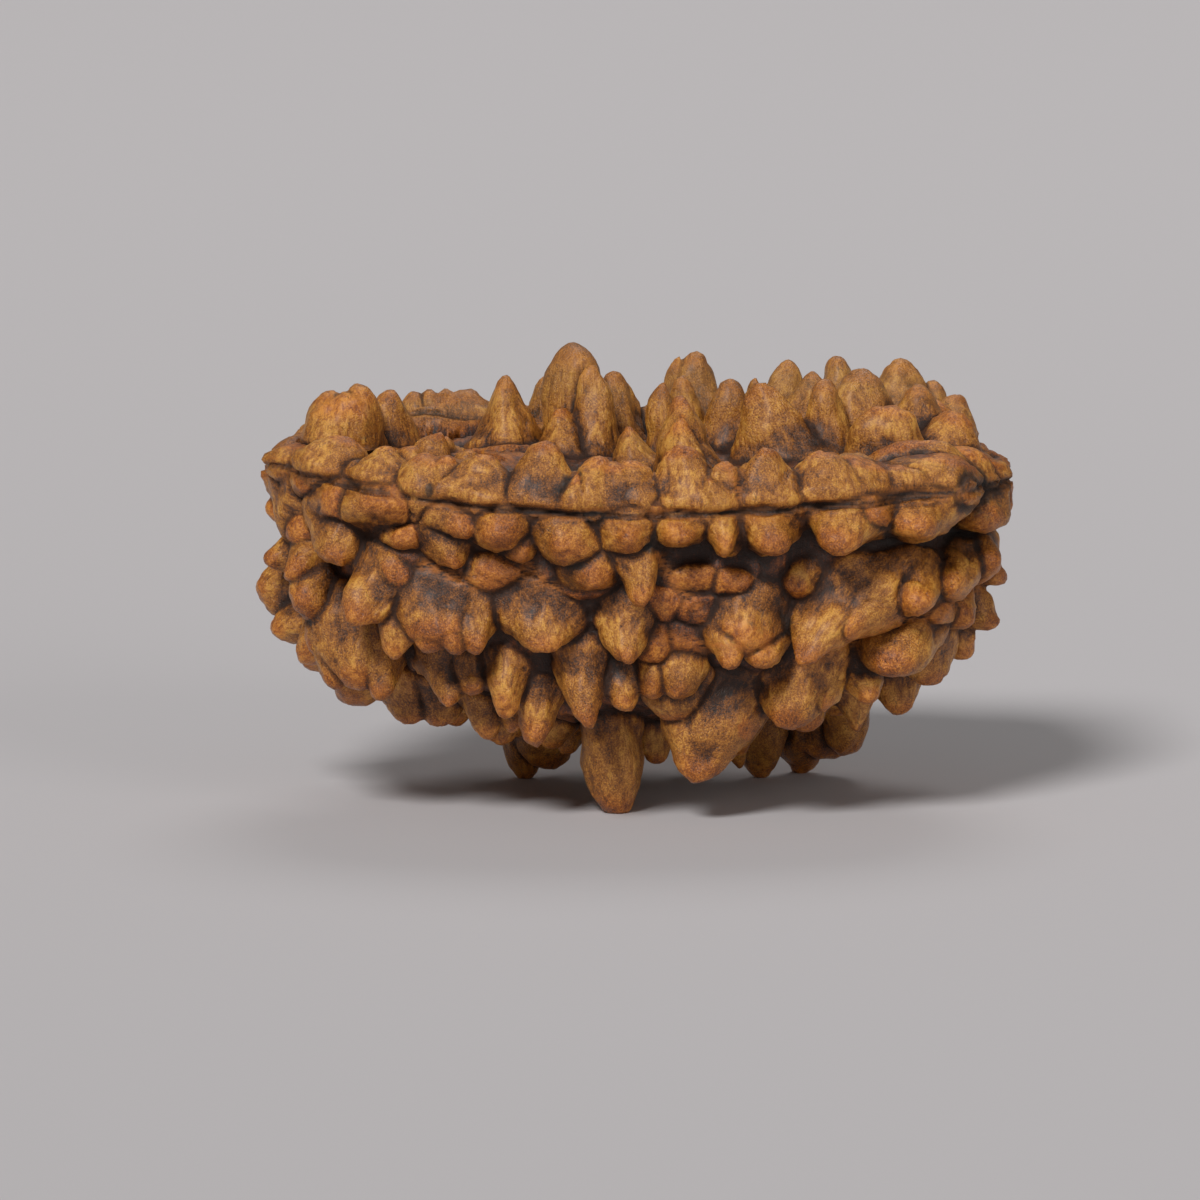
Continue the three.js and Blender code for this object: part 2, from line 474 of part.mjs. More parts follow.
function seedSolid() {
  const knobs = [
    ...aboveSeam,
    ...belowSeam,
    ...lowCells,
    ...upperLedge,
    ...lowerLedge,
    ...underside,
    ...standing,
    ...leftPole,
    ...rightPole,
    ...crown,
    ...rearWall,
    ...rearKnobs(),
    ...fillerKnobs(1, [...crown, ...aboveSeam, ...rearWall]),
    ...fillerKnobs(-1, [...underside, ...standing, ...lowerLedge]),
  ];
  const groove = new THREE.TubeGeometry(seamCurve(0), seamSegments, seamGrooveRadius, 3, true);
  let seed = knobs.reduce((grown, knob) => grown.add(knobSolid(knob)), bodySolid());
  seed = seed.add(seamLip()).subtract(solid(groove));
  const floor = new THREE.BoxGeometry(60, 60, 10);
  floor.translate(0, 0, restHeight - 5);
  return outerSkin(seed.subtract(solid(floor)).simplify(sliver));
}

function geometryOf(made) {
  const { vertProperties, triVerts } = made.getMesh();
  const geometry = new THREE.BufferGeometry();
  geometry.setAttribute("position", new THREE.BufferAttribute(new Float32Array(vertProperties), 3));
  geometry.setIndex(new THREE.BufferAttribute(new Uint32Array(triVerts), 1));
  return geometry;
}

// The ends of every edge along which two sheets of the skin only touch.
function pinchedEdges(geometry) {
  const places = geometry.attributes.position;
  const corners = [...geometry.index.array];
  const nameOf = (i) => [places.getX(i), places.getY(i), places.getZ(i)].map((value) => value.toFixed(4)).join();
  const faceCounts = new Map();
  for (let i = 0; i < corners.length; i += 3) {
    const names = corners.slice(i, i + 3).map(nameOf);
    if (new Set(names).size < 3) continue;
    for (const k of [0, 1, 2]) {
      const edge = [names[k], names[(k + 1) % 3]].sort().join(" ");
      faceCounts.set(edge, (faceCounts.get(edge) ?? 0) + 1);
    }
  }
  const pinched = [...faceCounts.keys()].filter((edge) => faceCounts.get(edge) > 2);
  return pinched.map((edge) => edge.split(" ").map((end) => end.split(",").map(Number)));
}

// A slim bead of husk welds such an edge.
function beadSolid(ends) {
  const ball = wasm.Manifold.sphere(beadRadius, 6);
  return wasm.Manifold.hull(ends.map((end) => ball.translate(end)));
}

// The fused skin carries slivers where knobs meet, so it is thinned to an even, closed skin.
const fused = geometryOf(seedSolid());
const spare = Math.max(0, fused.attributes.position.count - keptVertices);
const thinned = await new SimplifyModifier().modify(fused, spare);
thinned.computeBoundingBox();
const middle = thinned.boundingBox.getCenter(new THREE.Vector3());
thinned.translate(-middle.x, -middle.y, -thinned.boundingBox.min.z);
const loose = solid(thinned);
const welded = pinchedEdges(geometryOf(loose)).reduce((made, ends) => made.add(beadSolid(ends)), loose);
const skin = outerSkin(solid(geometryOf(welded)));
const geometry = geometryOf(skin);
geometry.computeVertexNormals();

const husk = new THREE.MeshStandardMaterial({ color: 0xa4692e, roughness: 0.6, metalness: 0 });
const seed = new THREE.Mesh(geometry, husk);
seed.name = "rudraksha_seed";

const rudraksha = new THREE.Group();
rudraksha.add(seed);

export default rudraksha;
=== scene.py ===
import bpy
import math
import numpy as np
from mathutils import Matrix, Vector, noise


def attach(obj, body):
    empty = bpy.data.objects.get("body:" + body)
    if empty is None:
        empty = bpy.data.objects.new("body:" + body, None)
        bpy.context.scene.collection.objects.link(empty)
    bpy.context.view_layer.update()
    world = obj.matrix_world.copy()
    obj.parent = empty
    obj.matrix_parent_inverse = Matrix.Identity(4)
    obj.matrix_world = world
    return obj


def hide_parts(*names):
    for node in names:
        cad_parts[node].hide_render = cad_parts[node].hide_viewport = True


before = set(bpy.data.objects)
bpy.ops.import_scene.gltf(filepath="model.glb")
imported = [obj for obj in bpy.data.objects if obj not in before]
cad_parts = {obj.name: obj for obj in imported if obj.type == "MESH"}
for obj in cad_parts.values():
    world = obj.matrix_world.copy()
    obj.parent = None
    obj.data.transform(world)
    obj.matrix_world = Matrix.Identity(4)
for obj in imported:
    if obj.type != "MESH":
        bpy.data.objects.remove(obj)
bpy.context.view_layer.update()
bpy.ops.object.select_all(action="DESELECT")

# Sizes of the seed are in millimetres and measured from the plane of its seam,
# with X from pole to pole and -Y towards the viewer. The finished mesh is made metres.
millimetre = 0.001
restHeight = -12.75

bowl = {
    "halfLength": 13.3,
    "halfDepth": 9.1,
    "below": 9.6,
    "above": 1.1,
    "squareness": 2.3,
    "shoulderCentre": (8.0, 2.6, 0.0),
    "shoulderRadii": (5.4, 5.4, 2.3),
}

seam = {
    "lipRadius": 0.5,
    "lipInset": 0.35,
    "front": [
        (-14.7, 0.0, 0.55),
        (-13.7, -3.6, 1.1),
        (-11.8, -6.2, 1.0),
        (-9.6, -7.8, 0.85),
        (-7.2, -8.8, 0.5),
        (-3.4, -9.7, 0.25),
        (0.2, -10.0, 0.15),
        (4.4, -9.6, 0.25),
        (8.4, -8.3, 0.45),
        (10.8, -6.9, 0.6),
        (12.8, -5.0, 0.55),
        (14.2, -2.6, 0.4),
        (14.6, 0.0, 0.3),
    ],
}

# Knobs, one by one: foot, tip, width along the seed, roundness from 0 (a point) to 1 (a bulb), and,
# where it is flattened or turned, its thickness and its turn in degrees.
knobGroups = {
    "aboveSeam": [
        ((-13.5, -2.8, 1.1), (-13.4, -2.8, 1.75), 2.6, 0.9, 1.6),
        ((-12.1, -5.2, 1.2), (-11.7, -5.1, 2.5), 2.5, 0.65, 1.8),
        ((-10.2, -7.0, 1.1), (-10.0, -6.8, 2.45), 1.9, 0.65),
        ((-9.2, -5.8, 1.1), (-9.2, -5.8, 2.3), 1.3, 0.8),
        ((-8.3, -8.1, 0.9), (-8.2, -8.0, 1.95), 2.5, 1.0, 1.6),
        ((-8.7, -8.0, 0.9), (-8.65, -7.9, 2.15), 1.2, 0.8),
        ((-7.7, -8.3, 0.9), (-7.7, -8.2, 2.1), 1.2, 0.8),
        ((-6.2, -8.8, 0.8), (-5.9, -8.6, 2.4), 2.6, 0.55, 1.7),
        ((-4.1, -9.2, 0.7), (-3.8, -9.0, 2.95), 2.1, 0.65, 1.7),
        ((-2.7, -9.4, 0.6), (-2.7, -9.3, 1.4), 1.5, 0.9),
        ((-1.0, -9.3, 0.6), (-1.0, -9.2, 1.95), 3.4, 1.0, 1.7),
        ((-1.8, -9.3, 0.7), (-1.7, -9.2, 2.15), 1.5, 0.7),
        ((-0.3, -9.3, 0.7), (-0.3, -9.2, 2.15), 1.5, 0.7),
        ((1.8, -9.2, 0.6), (1.65, -9.0, 2.65), 2.1, 0.6, 1.7),
        ((1.8, -8.2, 0.8), (1.6, -7.4, 3.4), 1.7, 0.4),
        ((1.9, -7.2, 1.1), (1.5, -6.5, 4.4), 2.0, 0.4),
        ((2.7, -9.3, 0.6), (2.7, -9.2, 1.5), 2.2, 1.0, 1.6),
        ((3.2, -9.3, 0.6), (3.3, -9.2, 2.1), 1.2, 0.5),
        ((4.9, -9.0, 0.7), (4.9, -8.8, 2.7), 2.4, 0.7, 1.8),
        ((7.2, -8.3, 0.8), (7.1, -8.0, 2.4), 2.7, 0.6, 1.8),
        ((8.6, -7.7, 0.9), (8.8, -7.6, 1.8), 2.6, 1.0, 1.7),
        ((10.0, -7.0, 0.95), (10.0, -6.9, 1.55), 2.4, 1.0, 1.7),
        ((11.2, -6.3, 0.95), (11.4, -6.2, 1.9), 2.5, 0.9, 1.7),
        ((12.3, -5.3, 0.9), (12.4, -5.3, 1.4), 2.0, 1.0),
        ((10.7, -4.8, 1.0), (10.4, -4.9, 2.25), 3.8, 0.95, 1.4),
        ((13.0, -3.8, 0.9), (13.2, -3.9, 1.65), 2.3, 0.8, 1.3),
        ((13.7, -2.8, 0.8), (14.0, -3.2, 1.25), 1.9, 0.8, 1.2),
    ],
    "belowSeam": [
        ((-13.0, -2.0, -0.3), (-15.1, -0.6, 0.5), 2.6, 0.2),
        ((-12.6, -2.8, -0.5), (-13.9, -3.4, -0.3), 2.4, 0.9),
        ((-12.4, -3.6, 0.3), (-13.0, -5.5, 0.75), 2.3, 1.0, 0.9),
        ((-10.3, -6.2, 0.1), (-10.2, -9.0, 0.45), 3.5, 0.95, 1.9, 12),
        ((-11.6, -4.8, 0.0), (-12.2, -7.4, 0.1), 2.5, 0.85, 2.2),
        ((-11.8, -5.4, -0.8), (-12.3, -7.6, -2.2), 2.3, 0.8),
        ((-9.2, -6.6, -1.0), (-9.2, -8.4, -1.0), 1.9, 1.0, 0.9),
        ((-9.6, -6.2, -1.9), (-11.4, -8.4, -4.5), 2.7, 0.7, 1.9),
        ((-9.5, -6.4, -2.1), (-9.7, -8.1, -2.9), 1.9, 0.9),
        ((-7.4, -7.4, 0.1), (-7.1, -9.9, -0.5), 2.1, 0.7, 2.0),
        ((-7.6, -7.4, -0.7), (-7.5, -9.1, -2.2), 2.0, 0.4),
        ((-5.5, -8.0, 0.0), (-5.6, -10.5, -0.65), 2.5, 0.7, 2.1),
        ((-4.9, -8.2, -0.7), (-4.7, -9.7, -1.6), 1.6, 0.6),
        ((-2.8, -8.2, -0.3), (-3.05, -11.0, -1.15), 2.9, 0.6, 2.6),
        ((-2.1, -8.2, -1.5), (-1.9, -10.2, -2.65), 2.4, 0.7),
        ((-0.5, -8.4, -0.1), (-0.5, -11.2, -0.8), 2.0, 0.7, 2.2),
        ((-0.3, -8.8, -1.0), (0.1, -10.5, -3.4), 1.9, 0.35, 2.0),
        ((1.4, -8.4, -0.1), (1.5, -10.95, -0.7), 2.2, 0.85, 1.7),
        ((3.3, -8.4, -0.1), (3.4, -10.7, -1.35), 1.3, 0.8, 2.1),
        ((5.0, -8.2, -0.1), (5.15, -10.9, -1.25), 2.4, 0.8, 2.3),
        ((8.1, -7.4, 0.1), (7.85, -10.4, -1.25), 2.9, 0.6, 2.3),
        ((9.0, -7.2, 0.2), (9.3, -9.4, 0.0), 2.0, 0.7, 1.4),
        ((11.1, -5.8, 0.1), (10.9, -9.0, -0.8), 3.0, 0.65, 2.3),
        ((12.2, -4.8, 0.3), (12.6, -7.1, 0.3), 2.2, 0.7, 1.3),
        ((13.2, -2.4, -0.3), (13.7, -5.1, -0.9), 2.4, 0.8, 1.9),
        ((13.4, -1.2, -0.3), (14.8, -2.2, -0.4), 1.8, 0.8, 1.4),
    ],
    "lowCells": [
        ((-9.0, -6.6, -1.8), (-9.0, -7.9, -2.0), 1.4, 1.0),
        ((-5.6, -7.6, -2.3), (-5.6, -9.0, -2.45), 2.4, 1.0, 1.7),
        ((-2.0, -8.0, -2.9), (-2.0, -9.1, -3.0), 2.0, 1.0, 1.1),
        ((2.1, -8.2, -2.4), (2.1, -9.3, -2.5), 2.1, 1.0, 1.2),
        ((3.6, -8.2, -2.6), (3.7, -9.2, -2.8), 1.8, 1.0, 1.3),
        ((0.8, -8.0, -3.4), (0.8, -9.0, -3.6), 2.2, 1.0, 1.7),
        ((2.3, -7.8, -3.7), (2.3, -8.9, -3.9), 2.4, 1.0, 1.8),
        ((1.9, -7.6, -4.9), (1.9, -8.6, -5.1), 2.2, 1.0, 1.8),
        ((6.4, -7.4, -2.4), (6.3, -8.6, -3.1), 1.7, 0.7),
    ],
    "upperLedge": [
        ((-7.9, -6.8, -2.9), (-8.0, -8.6, -5.1), 4.2, 0.9, 2.3),
        ((-9.5, -6.4, -3.4), (-9.75, -7.9, -6.0), 2.0, 0.7),
        ((-8.3, -6.8, -3.8), (-8.3, -8.6, -5.6), 1.5, 0.6),
        ((-7.3, -7.0, -3.8), (-7.3, -9.0, -5.4), 1.4, 0.6),
        ((-6.4, -7.2, -3.4), (-6.5, -9.2, -5.45), 1.7, 0.5),
        ((-3.8, -7.6, -3.8), (-3.6, -9.5, -5.4), 3.3, 0.35, 2.1),
        ((-0.6, -7.8, -3.8), (-0.7, -9.9, -5.85), 2.1, 0.6),
        ((0.6, -7.2, -4.9), (0.6, -8.6, -5.2), 1.9, 0.9),
        ((0.5, -6.6, -5.9), (0.4, -8.3, -7.4), 1.6, 0.7),
        ((1.6, -6.8, -5.6), (1.6, -8.7, -7.5), 1.9, 0.4),
        ((4.2, -7.2, -3.5), (4.2, -9.3, -5.2), 3.3, 0.8, 3.0),
        ((3.3, -7.6, -4.4), (3.5, -9.8, -6.05), 1.6, 0.6),
        ((4.9, -7.1, -5.0), (4.9, -9.4, -6.1), 1.6, 0.7),
        ((8.2, -6.8, -3.3), (6.2, -9.5, -6.0), 2.8, 0.25, 2.0),
        ((9.6, -6.2, -3.3), (8.2, -8.9, -4.9), 2.2, 0.45),
        ((11.0, -5.4, -3.2), (10.95, -8.3, -3.75), 2.0, 0.85),
        ((12.4, -3.8, -2.8), (12.6, -6.6, -3.3), 1.9, 0.8),
        ((13.2, -2.0, -2.5), (14.0, -4.4, -2.8), 2.0, 0.8),
    ],
    "lowerLedge": [
        ((-11.0, -4.6, -5.2), (-11.2, -6.0, -7.4), 3.4, 0.8, 2.4),
        ((-10.2, -5.0, -5.6), (-10.4, -6.4, -7.9), 1.9, 0.5),
        ((-11.8, -4.4, -5.4), (-12.2, -5.2, -7.5), 1.7, 0.6),
        ((-12.0, -2.4, -5.0), (-13.4, -3.4, -6.9), 2.0, 0.7),
        ((-12.0, -3.0, -4.8), (-12.7, -4.9, -6.0), 1.8, 0.7),
        ((-7.6, -5.4, -6.3), (-7.6, -7.0, -8.15), 1.8, 0.2),
        ((-6.7, -5.8, -6.0), (-6.7, -7.1, -7.6), 1.6, 0.8),
        ((-5.3, -6.0, -5.4), (-5.3, -7.9, -8.2), 2.0, 1.0),
        ((-3.8, -5.6, -6.2), (-4.2, -7.0, -9.35), 2.0, 0.75),
        ((-2.5, -6.8, -5.0), (-2.0, -8.9, -8.6), 2.2, 0.6, 2.0),
        ((-1.0, -6.6, -6.2), (-0.5, -8.3, -7.9), 1.9, 0.6),
        ((3.1, -5.2, -6.8), (2.0, -6.8, -11.1), 3.8, 0.6, 3.0),
        ((4.1, -5.0, -6.8), (3.7, -6.6, -9.3), 2.6, 0.8),
        ((6.3, -5.6, -6.4), (5.75, -7.5, -8.95), 3.0, 0.65),
        ((7.1, -5.4, -6.5), (7.15, -7.2, -8.0), 1.6, 0.7),
        ((10.2, -4.8, -5.4), (9.9, -7.8, -6.55), 3.1, 0.8, 2.4),
        ((8.6, -5.4, -6.8), (9.1, -6.6, -7.9), 1.6, 0.5),
        ((11.4, -3.8, -4.4), (12.0, -6.2, -4.5), 1.9, 0.7, 1.3),
    ],
    "underside": [
        ((-11.0, -2.0, -7.0), (-11.6, -2.8, -8.65), 2.7, 0.7),
        ((-9.3, -2.6, -7.8), (-9.2, -3.4, -9.4), 1.9, 0.5),
        ((-8.0, -2.8, -8.0), (-8.1, -3.6, -9.45), 2.0, 0.6),
        ((-6.1, -4.0, -8.0), (-6.2, -4.9, -9.65), 1.8, 0.6),
        ((-5.0, -4.2, -8.2), (-4.9, -5.2, -9.3), 1.7, 0.7),
        ((-3.8, 2.8, -8.6), (-3.8, 3.4, -12.15), 3.2, 0.95, 2.4),
        ((4.0, 1.0, -8.9), (4.0, 1.4, -12.0), 1.5, 0.6),
        ((7.4, 4.0, -8.0), (7.5, 4.7, -12.0), 3.8, 0.95, 2.8),
        ((8.2, 3.2, -8.0), (8.3, 3.8, -11.85), 2.4, 0.85),
        ((6.6, -3.0, -8.2), (6.7, -4.0, -9.4), 1.9, 0.7),
        ((8.4, -2.2, -7.8), (8.7, -2.8, -9.9), 1.8, 0.6),
        ((10.2, -0.4, -7.0), (10.5, -0.9, -9.35), 2.4, 0.7),
        ((11.2, -2.4, -6.2), (11.8, -3.2, -7.8), 2.2, 0.6),
    ],
    "standing": [
        ((-1.1, -3.6, -8.8), (-1.0, -4.1, -12.87), 2.75, 1.3),
        ((-4.7, 3.4, -8.4), (-4.7, 4.1, -12.9), 1.9, 1.2),
        ((4.8, 3.4, -8.6), (4.8, 4.1, -12.9), 2.1, 1.2),
        ((6.4, 4.6, -8.0), (6.5, 5.4, -12.9), 2.4, 1.2),
    ],
    "leftPole": [
        ((-12.4, -2.6, -1.4), (-13.7, -4.3, -1.5), 1.9, 0.9),
        ((-13.0, -0.6, -0.8), (-14.8, -1.2, -1.0), 1.9, 0.9),
        ((-12.8, -1.6, -2.6), (-15.0, -2.4, -2.9), 1.9, 0.8),
        ((-12.6, -3.2, -2.4), (-13.9, -4.9, -3.0), 1.8, 0.9),
        ((-12.6, -3.6, -3.6), (-13.6, -5.4, -4.2), 2.0, 0.9),
        ((-12.8, 0.0, -4.2), (-15.5, -0.2, -4.5), 2.6, 0.7),
        ((-12.4, -0.8, -5.2), (-14.7, -1.2, -6.0), 2.2, 0.7),
        ((-11.8, -0.6, -6.2), (-13.5, -1.0, -7.25), 2.2, 0.5),
        ((-13.0, 2.2, -0.9), (-14.8, 3.0, -1.5), 1.7, 0.7),
        ((-12.4, 3.4, 0.5), (-13.4, 4.0, 1.3), 2.6, 0.7),
    ],
    "rightPole": [
        ((12.2, -2.8, -4.4), (13.1, -4.8, -4.8), 1.8, 0.7),
        ((12.6, -1.0, -4.6), (14.3, -2.0, -5.45), 1.8, 0.6),
        ((12.0, -0.8, -5.6), (13.3, -1.4, -6.75), 1.9, 0.6),
        ((13.0, -0.6, -3.2), (14.6, -1.2, -3.85), 1.7, 0.7),
        ((13.2, 0.6, 0.2), (14.2, 1.0, 0.85), 2.0, 0.7),
    ],
    "crown": [
        ((-12.4, -1.8, 1.5), (-12.5, -2.1, 3.88), 1.5, 0.9, 1.8),
        ((-11.8, -1.9, 0.8), (-11.85, -2.3, 3.65), 3.0, 1.5, 2.8),
        ((-11.1, -1.9, 1.5), (-11.15, -2.3, 3.98), 1.7, 0.8, 1.9),
        ((-10.0, 0.0, 1.0), (-10.2, 0.0, 3.75), 2.2, 0.9),
        ((-8.4, -4.0, 1.0), (-8.1, -4.0, 2.6), 1.3, 0.4),
        ((-7.7, -3.0, 1.0), (-7.7, -3.0, 2.3), 1.0, 0.6),
        ((-7.0, -4.6, 1.0), (-6.9, -4.5, 2.0), 1.2, 0.6),
        ((-5.3, -0.2, 1.0), (-5.35, 0.0, 4.15), 2.3, 0.4),
        ((-3.1, -1.4, 1.0), (-3.2, -1.0, 3.05), 1.6, 0.5),
        ((-1.8, -0.8, 1.0), (-1.85, -0.5, 4.7), 1.8, 0.6),
        ((-2.6, 1.0, 1.0), (-2.7, 1.0, 5.33), 2.7, 1.5),
        ((-3.7, 4.6, 1.0), (-3.6, 5.0, 3.55), 1.9, 0.6),
        ((-1.0, 4.6, 1.0), (-1.0, 5.0, 3.65), 2.0, 0.6),
        ((-0.9, 2.0, 1.0), (-0.9, 2.4, 4.0), 1.8, 0.8),
        ((-0.2, -3.6, 0.9), (-0.4, -3.5, 2.7), 1.5, 0.35),
        ((0.9, -1.2, 1.0), (0.9, -1.0, 4.2), 1.4, 0.7),
        ((2.2, 5.6, 1.2), (2.3, 6.0, 4.25), 2.2, 0.5),
        ((1.4, 5.6, 1.2), (1.5, 6.0, 4.0), 1.4, 0.6),
        ((1.7, 1.8, 1.2), (1.7, 2.0, 3.85), 1.5, 0.6),
        ((3.4, 0.6, 0.8), (3.6, 1.0, 3.95), 2.2, 1.0, 1.6),
        ((5.6, -2.2, 0.8), (4.6, -2.0, 4.25), 3.2, 0.2, 1.7),
        ((5.7, 4.6, 1.6), (5.8, 5.0, 4.2), 2.0, 0.6),
        ((4.6, 2.8, 1.4), (4.6, 3.0, 3.8), 1.3, 0.6),
        ((6.8, 1.4, 1.8), (6.9, 1.5, 4.3), 2.0, 0.55),
        ((7.4, -1.8, 0.9), (7.5, -1.3, 4.35), 1.8, 1.1),
        ((8.0, 5.4, 1.4), (8.0, 6.0, 4.2), 2.2, 0.6),
        ((8.8, 0.8, 1.8), (8.9, 1.0, 4.25), 2.6, 0.8),
        ((9.8, -3.2, 0.9), (9.9, -3.0, 3.6), 3.3, 1.2, 2.0),
        ((11.0, 0.0, 1.4), (11.0, 0.0, 3.9), 2.2, 0.8),
        ((10.3, 4.6, 1.4), (10.5, 5.0, 4.0), 2.8, 0.7),
        ((11.7, 4.8, 1.0), (11.8, 5.4, 3.15), 1.7, 0.7),
        ((12.2, 3.4, 0.8), (12.9, 4.0, 2.75), 2.2, 0.6),
        ((12.0, -1.6, 0.9), (12.5, -1.5, 2.9), 2.8, 0.8),
        ((11.8, 1.0, 1.0), (12.0, 1.0, 3.0), 2.0, 0.7),
    ],
    "rearWall": [
        ((-7.6, 7.1, 0.4), (-7.7, 7.4, 2.25), 5.2, 1.0, 1.8),
        ((-9.1, 6.9, 0.8), (-9.2, 7.3, 2.4), 1.2, 0.9),
        ((-8.4, 7.0, 0.8), (-8.5, 7.4, 2.45), 1.2, 0.9),
        ((-7.7, 7.1, 0.8), (-7.8, 7.4, 2.4), 1.1, 0.9),
        ((-6.8, 7.2, 0.8), (-6.9, 7.5, 2.35), 1.4, 0.9),
        ((-4.8, 7.5, 0.4), (-4.8, 7.9, 1.9), 3.0, 1.0, 1.8),
    ],
}

# Rows on the rear face: degrees below the seam, how far the knobs stand out, their droop,
# their spacing and how far along the seed the row reaches.
rearRows = [
    (-9, 1.5, -0.9, 2.5, 0.9),
    (8, 2.1, 0.2, 2.6, 0.95),
    (38, 2.0, 0.9, 2.6, 0.9),
    (62, 2.1, 0.9, 2.8, 0.84),
]

# Small knobs on the crown and underneath, below the skyline seen from the front.
filler = {
    "seed": 23,
    "spacing": 2.3,
    "room": 1.55,
    "reach": 0.84,
    "skyline": [(-14.0, 2.4), (-9.0, 1.0), (-3.6, 1.8), (-0.8, 1.2), (1.2, 2.3)],
    "skylineFall": 0.16,
    "bare": (-6.4, 1.8, 3.3),  # the smooth hollow in the crown: its middle and radius
    "front": -2.2,  # none on the crown nearer the viewer than this
}

husk = {
    "voxel": 0.17,
    "blend": 0.26,  # how softly neighbouring knobs run together
    "flare": 0.7,  # how much wider a pointed knob is at its root
    "grooveWidth": 0.13,
    "grooveDepth": 0.24,
    "grainShift": 7.3,  # sets the grain of each lobe apart from its neighbours'
    "warpSeed": 3,
    "warpSize": 1.7,
    "warpReach": 0.24,  # how far the warp moves a lobe's sides off their even shape
    "lumpSize": 2.0,
    "lumpHeight": 0.16,
    "creaseSize": 2.2,
    "creaseHeight": 0.05,
    "ribHeight": 0.06,
    "wrinkleHeight": 0.03,
    "cellSize": 1.5,
    "cellHeight": -0.12,
    "mostTriangles": 196000,
}


def repeatableRandom(start):
    state = start
    while True:
        state = state * 16807 % 2147483647
        yield state / 2147483647


def bowlReach(x, y, z):
    n = bowl["squareness"]
    height = bowl["below"] if z < 0 else bowl["above"]
    terms = [abs(x / bowl["halfLength"]), abs(y / bowl["halfDepth"]), abs(z / height)]
    return sum(term ** n for term in terms) ** (1 / n)


def bowlHeight(x, y, side):
    n = bowl["squareness"]
    flat = bowlReach(x, y, 0) ** n
    return side * (bowl["below"] if side < 0 else bowl["above"]) * max(0, 1 - flat) ** (1 / n)


def rearKnobs():
    draw = repeatableRandom(7)
    knobs = []
    n = bowl["squareness"]
    for row, (below, height, droop, spacing, reach) in enumerate(rearRows):
        limit = bowl["halfLength"] * reach
        count = round(2 * limit / spacing)
        for i in range(count):
            x = -limit + 2 * limit * (i + 0.5 + 0.3 * (row % 2)) / count + 0.5 * (next(draw) - 0.5)
            if below < 0 and x < -3.6:
                continue
            angle = math.radians(below + 5 * (next(draw) - 0.5))
            across, down = math.cos(angle), -math.sin(angle)
            along = abs(x / bowl["halfLength"]) ** n
            scale = max(0.0, 1 - along) ** (1 / n) / bowlReach(0, across, down)
            foot = Vector((x, across * scale, down * scale)) * 0.93
            out = Vector((foot.x * 0.35, foot.y, foot.z)).normalized()
            tip = foot + out * (height * (0.8 + 0.5 * next(draw)) + 0.5)
            tip.z -= droop
            width = spacing * (0.75 + 0.25 * next(draw))
            knobs.append((tuple(foot), tuple(tip), width, 0.5 + 0.4 * next(draw)))
    return knobs


def fillerKnobs(side, neighbours):
    draw = repeatableRandom(filler["seed"] + side)
    knobs = []
    for row in range(-4, 5):
        for column in range(-6, 7):
            half = 0.5 * math.fmod(row, 2)
            x = (column + half + 0.5 * (next(draw) - 0.5)) * filler["spacing"]
            y = (row + 0.5 * (next(draw) - 0.5)) * filler["spacing"] * 0.9
            heightShare, widthShare, roundness = next(draw), next(draw), next(draw)
            if bowlReach(x, y, 0) > filler["reach"]:
                continue
            fromBare = math.hypot(x - filler["bare"][0], y - filler["bare"][1])
            if side > 0 and (fromBare < filler["bare"][2] or y < filler["front"]):
                continue
            if any(math.hypot(k[0][0] - x, k[0][1] - y) < filler["room"] for k in neighbours):
                continue
            base = bowlHeight(x, y, side)
            limit = [height for start, height in filler["skyline"] if x >= start][-1]
            if side > 0:
                tip = max(base + 0.5, limit - filler["skylineFall"] * y) - 0.5 * heightShare
            else:
                tip = base - 1.1 - 0.6 * heightShare
            width = 1.6 + 0.8 * widthShare
            knobs.append(((x, y, base * 0.95), (x * 1.03, y * 1.03, tip), width, 0.5 + 0.4 * roundness))
    return knobs


def smoothStep(low, high, values):
    share = np.clip((values - low) / (high - low), 0, 1)
    return share * share * (3 - 2 * share)


def bowlField(points):
    n = bowl["squareness"]
    height = np.where(points[:, 2] < 0, bowl["below"], bowl["above"])
    sides = [np.full(len(points), bowl[side]) for side in ("halfLength", "halfDepth")]
    size = np.stack(sides + [height], 1)
    share = np.abs(points) / size
    reach = (share ** n).sum(1) ** (1 / n) + 1e-6
    slope = (share / reach[:, None]) ** (n - 1) * np.sign(points) / size
    steep = np.linalg.norm(slope, axis=1) + 1e-6
    return (reach - 1) / steep, slope / steep[:, None]


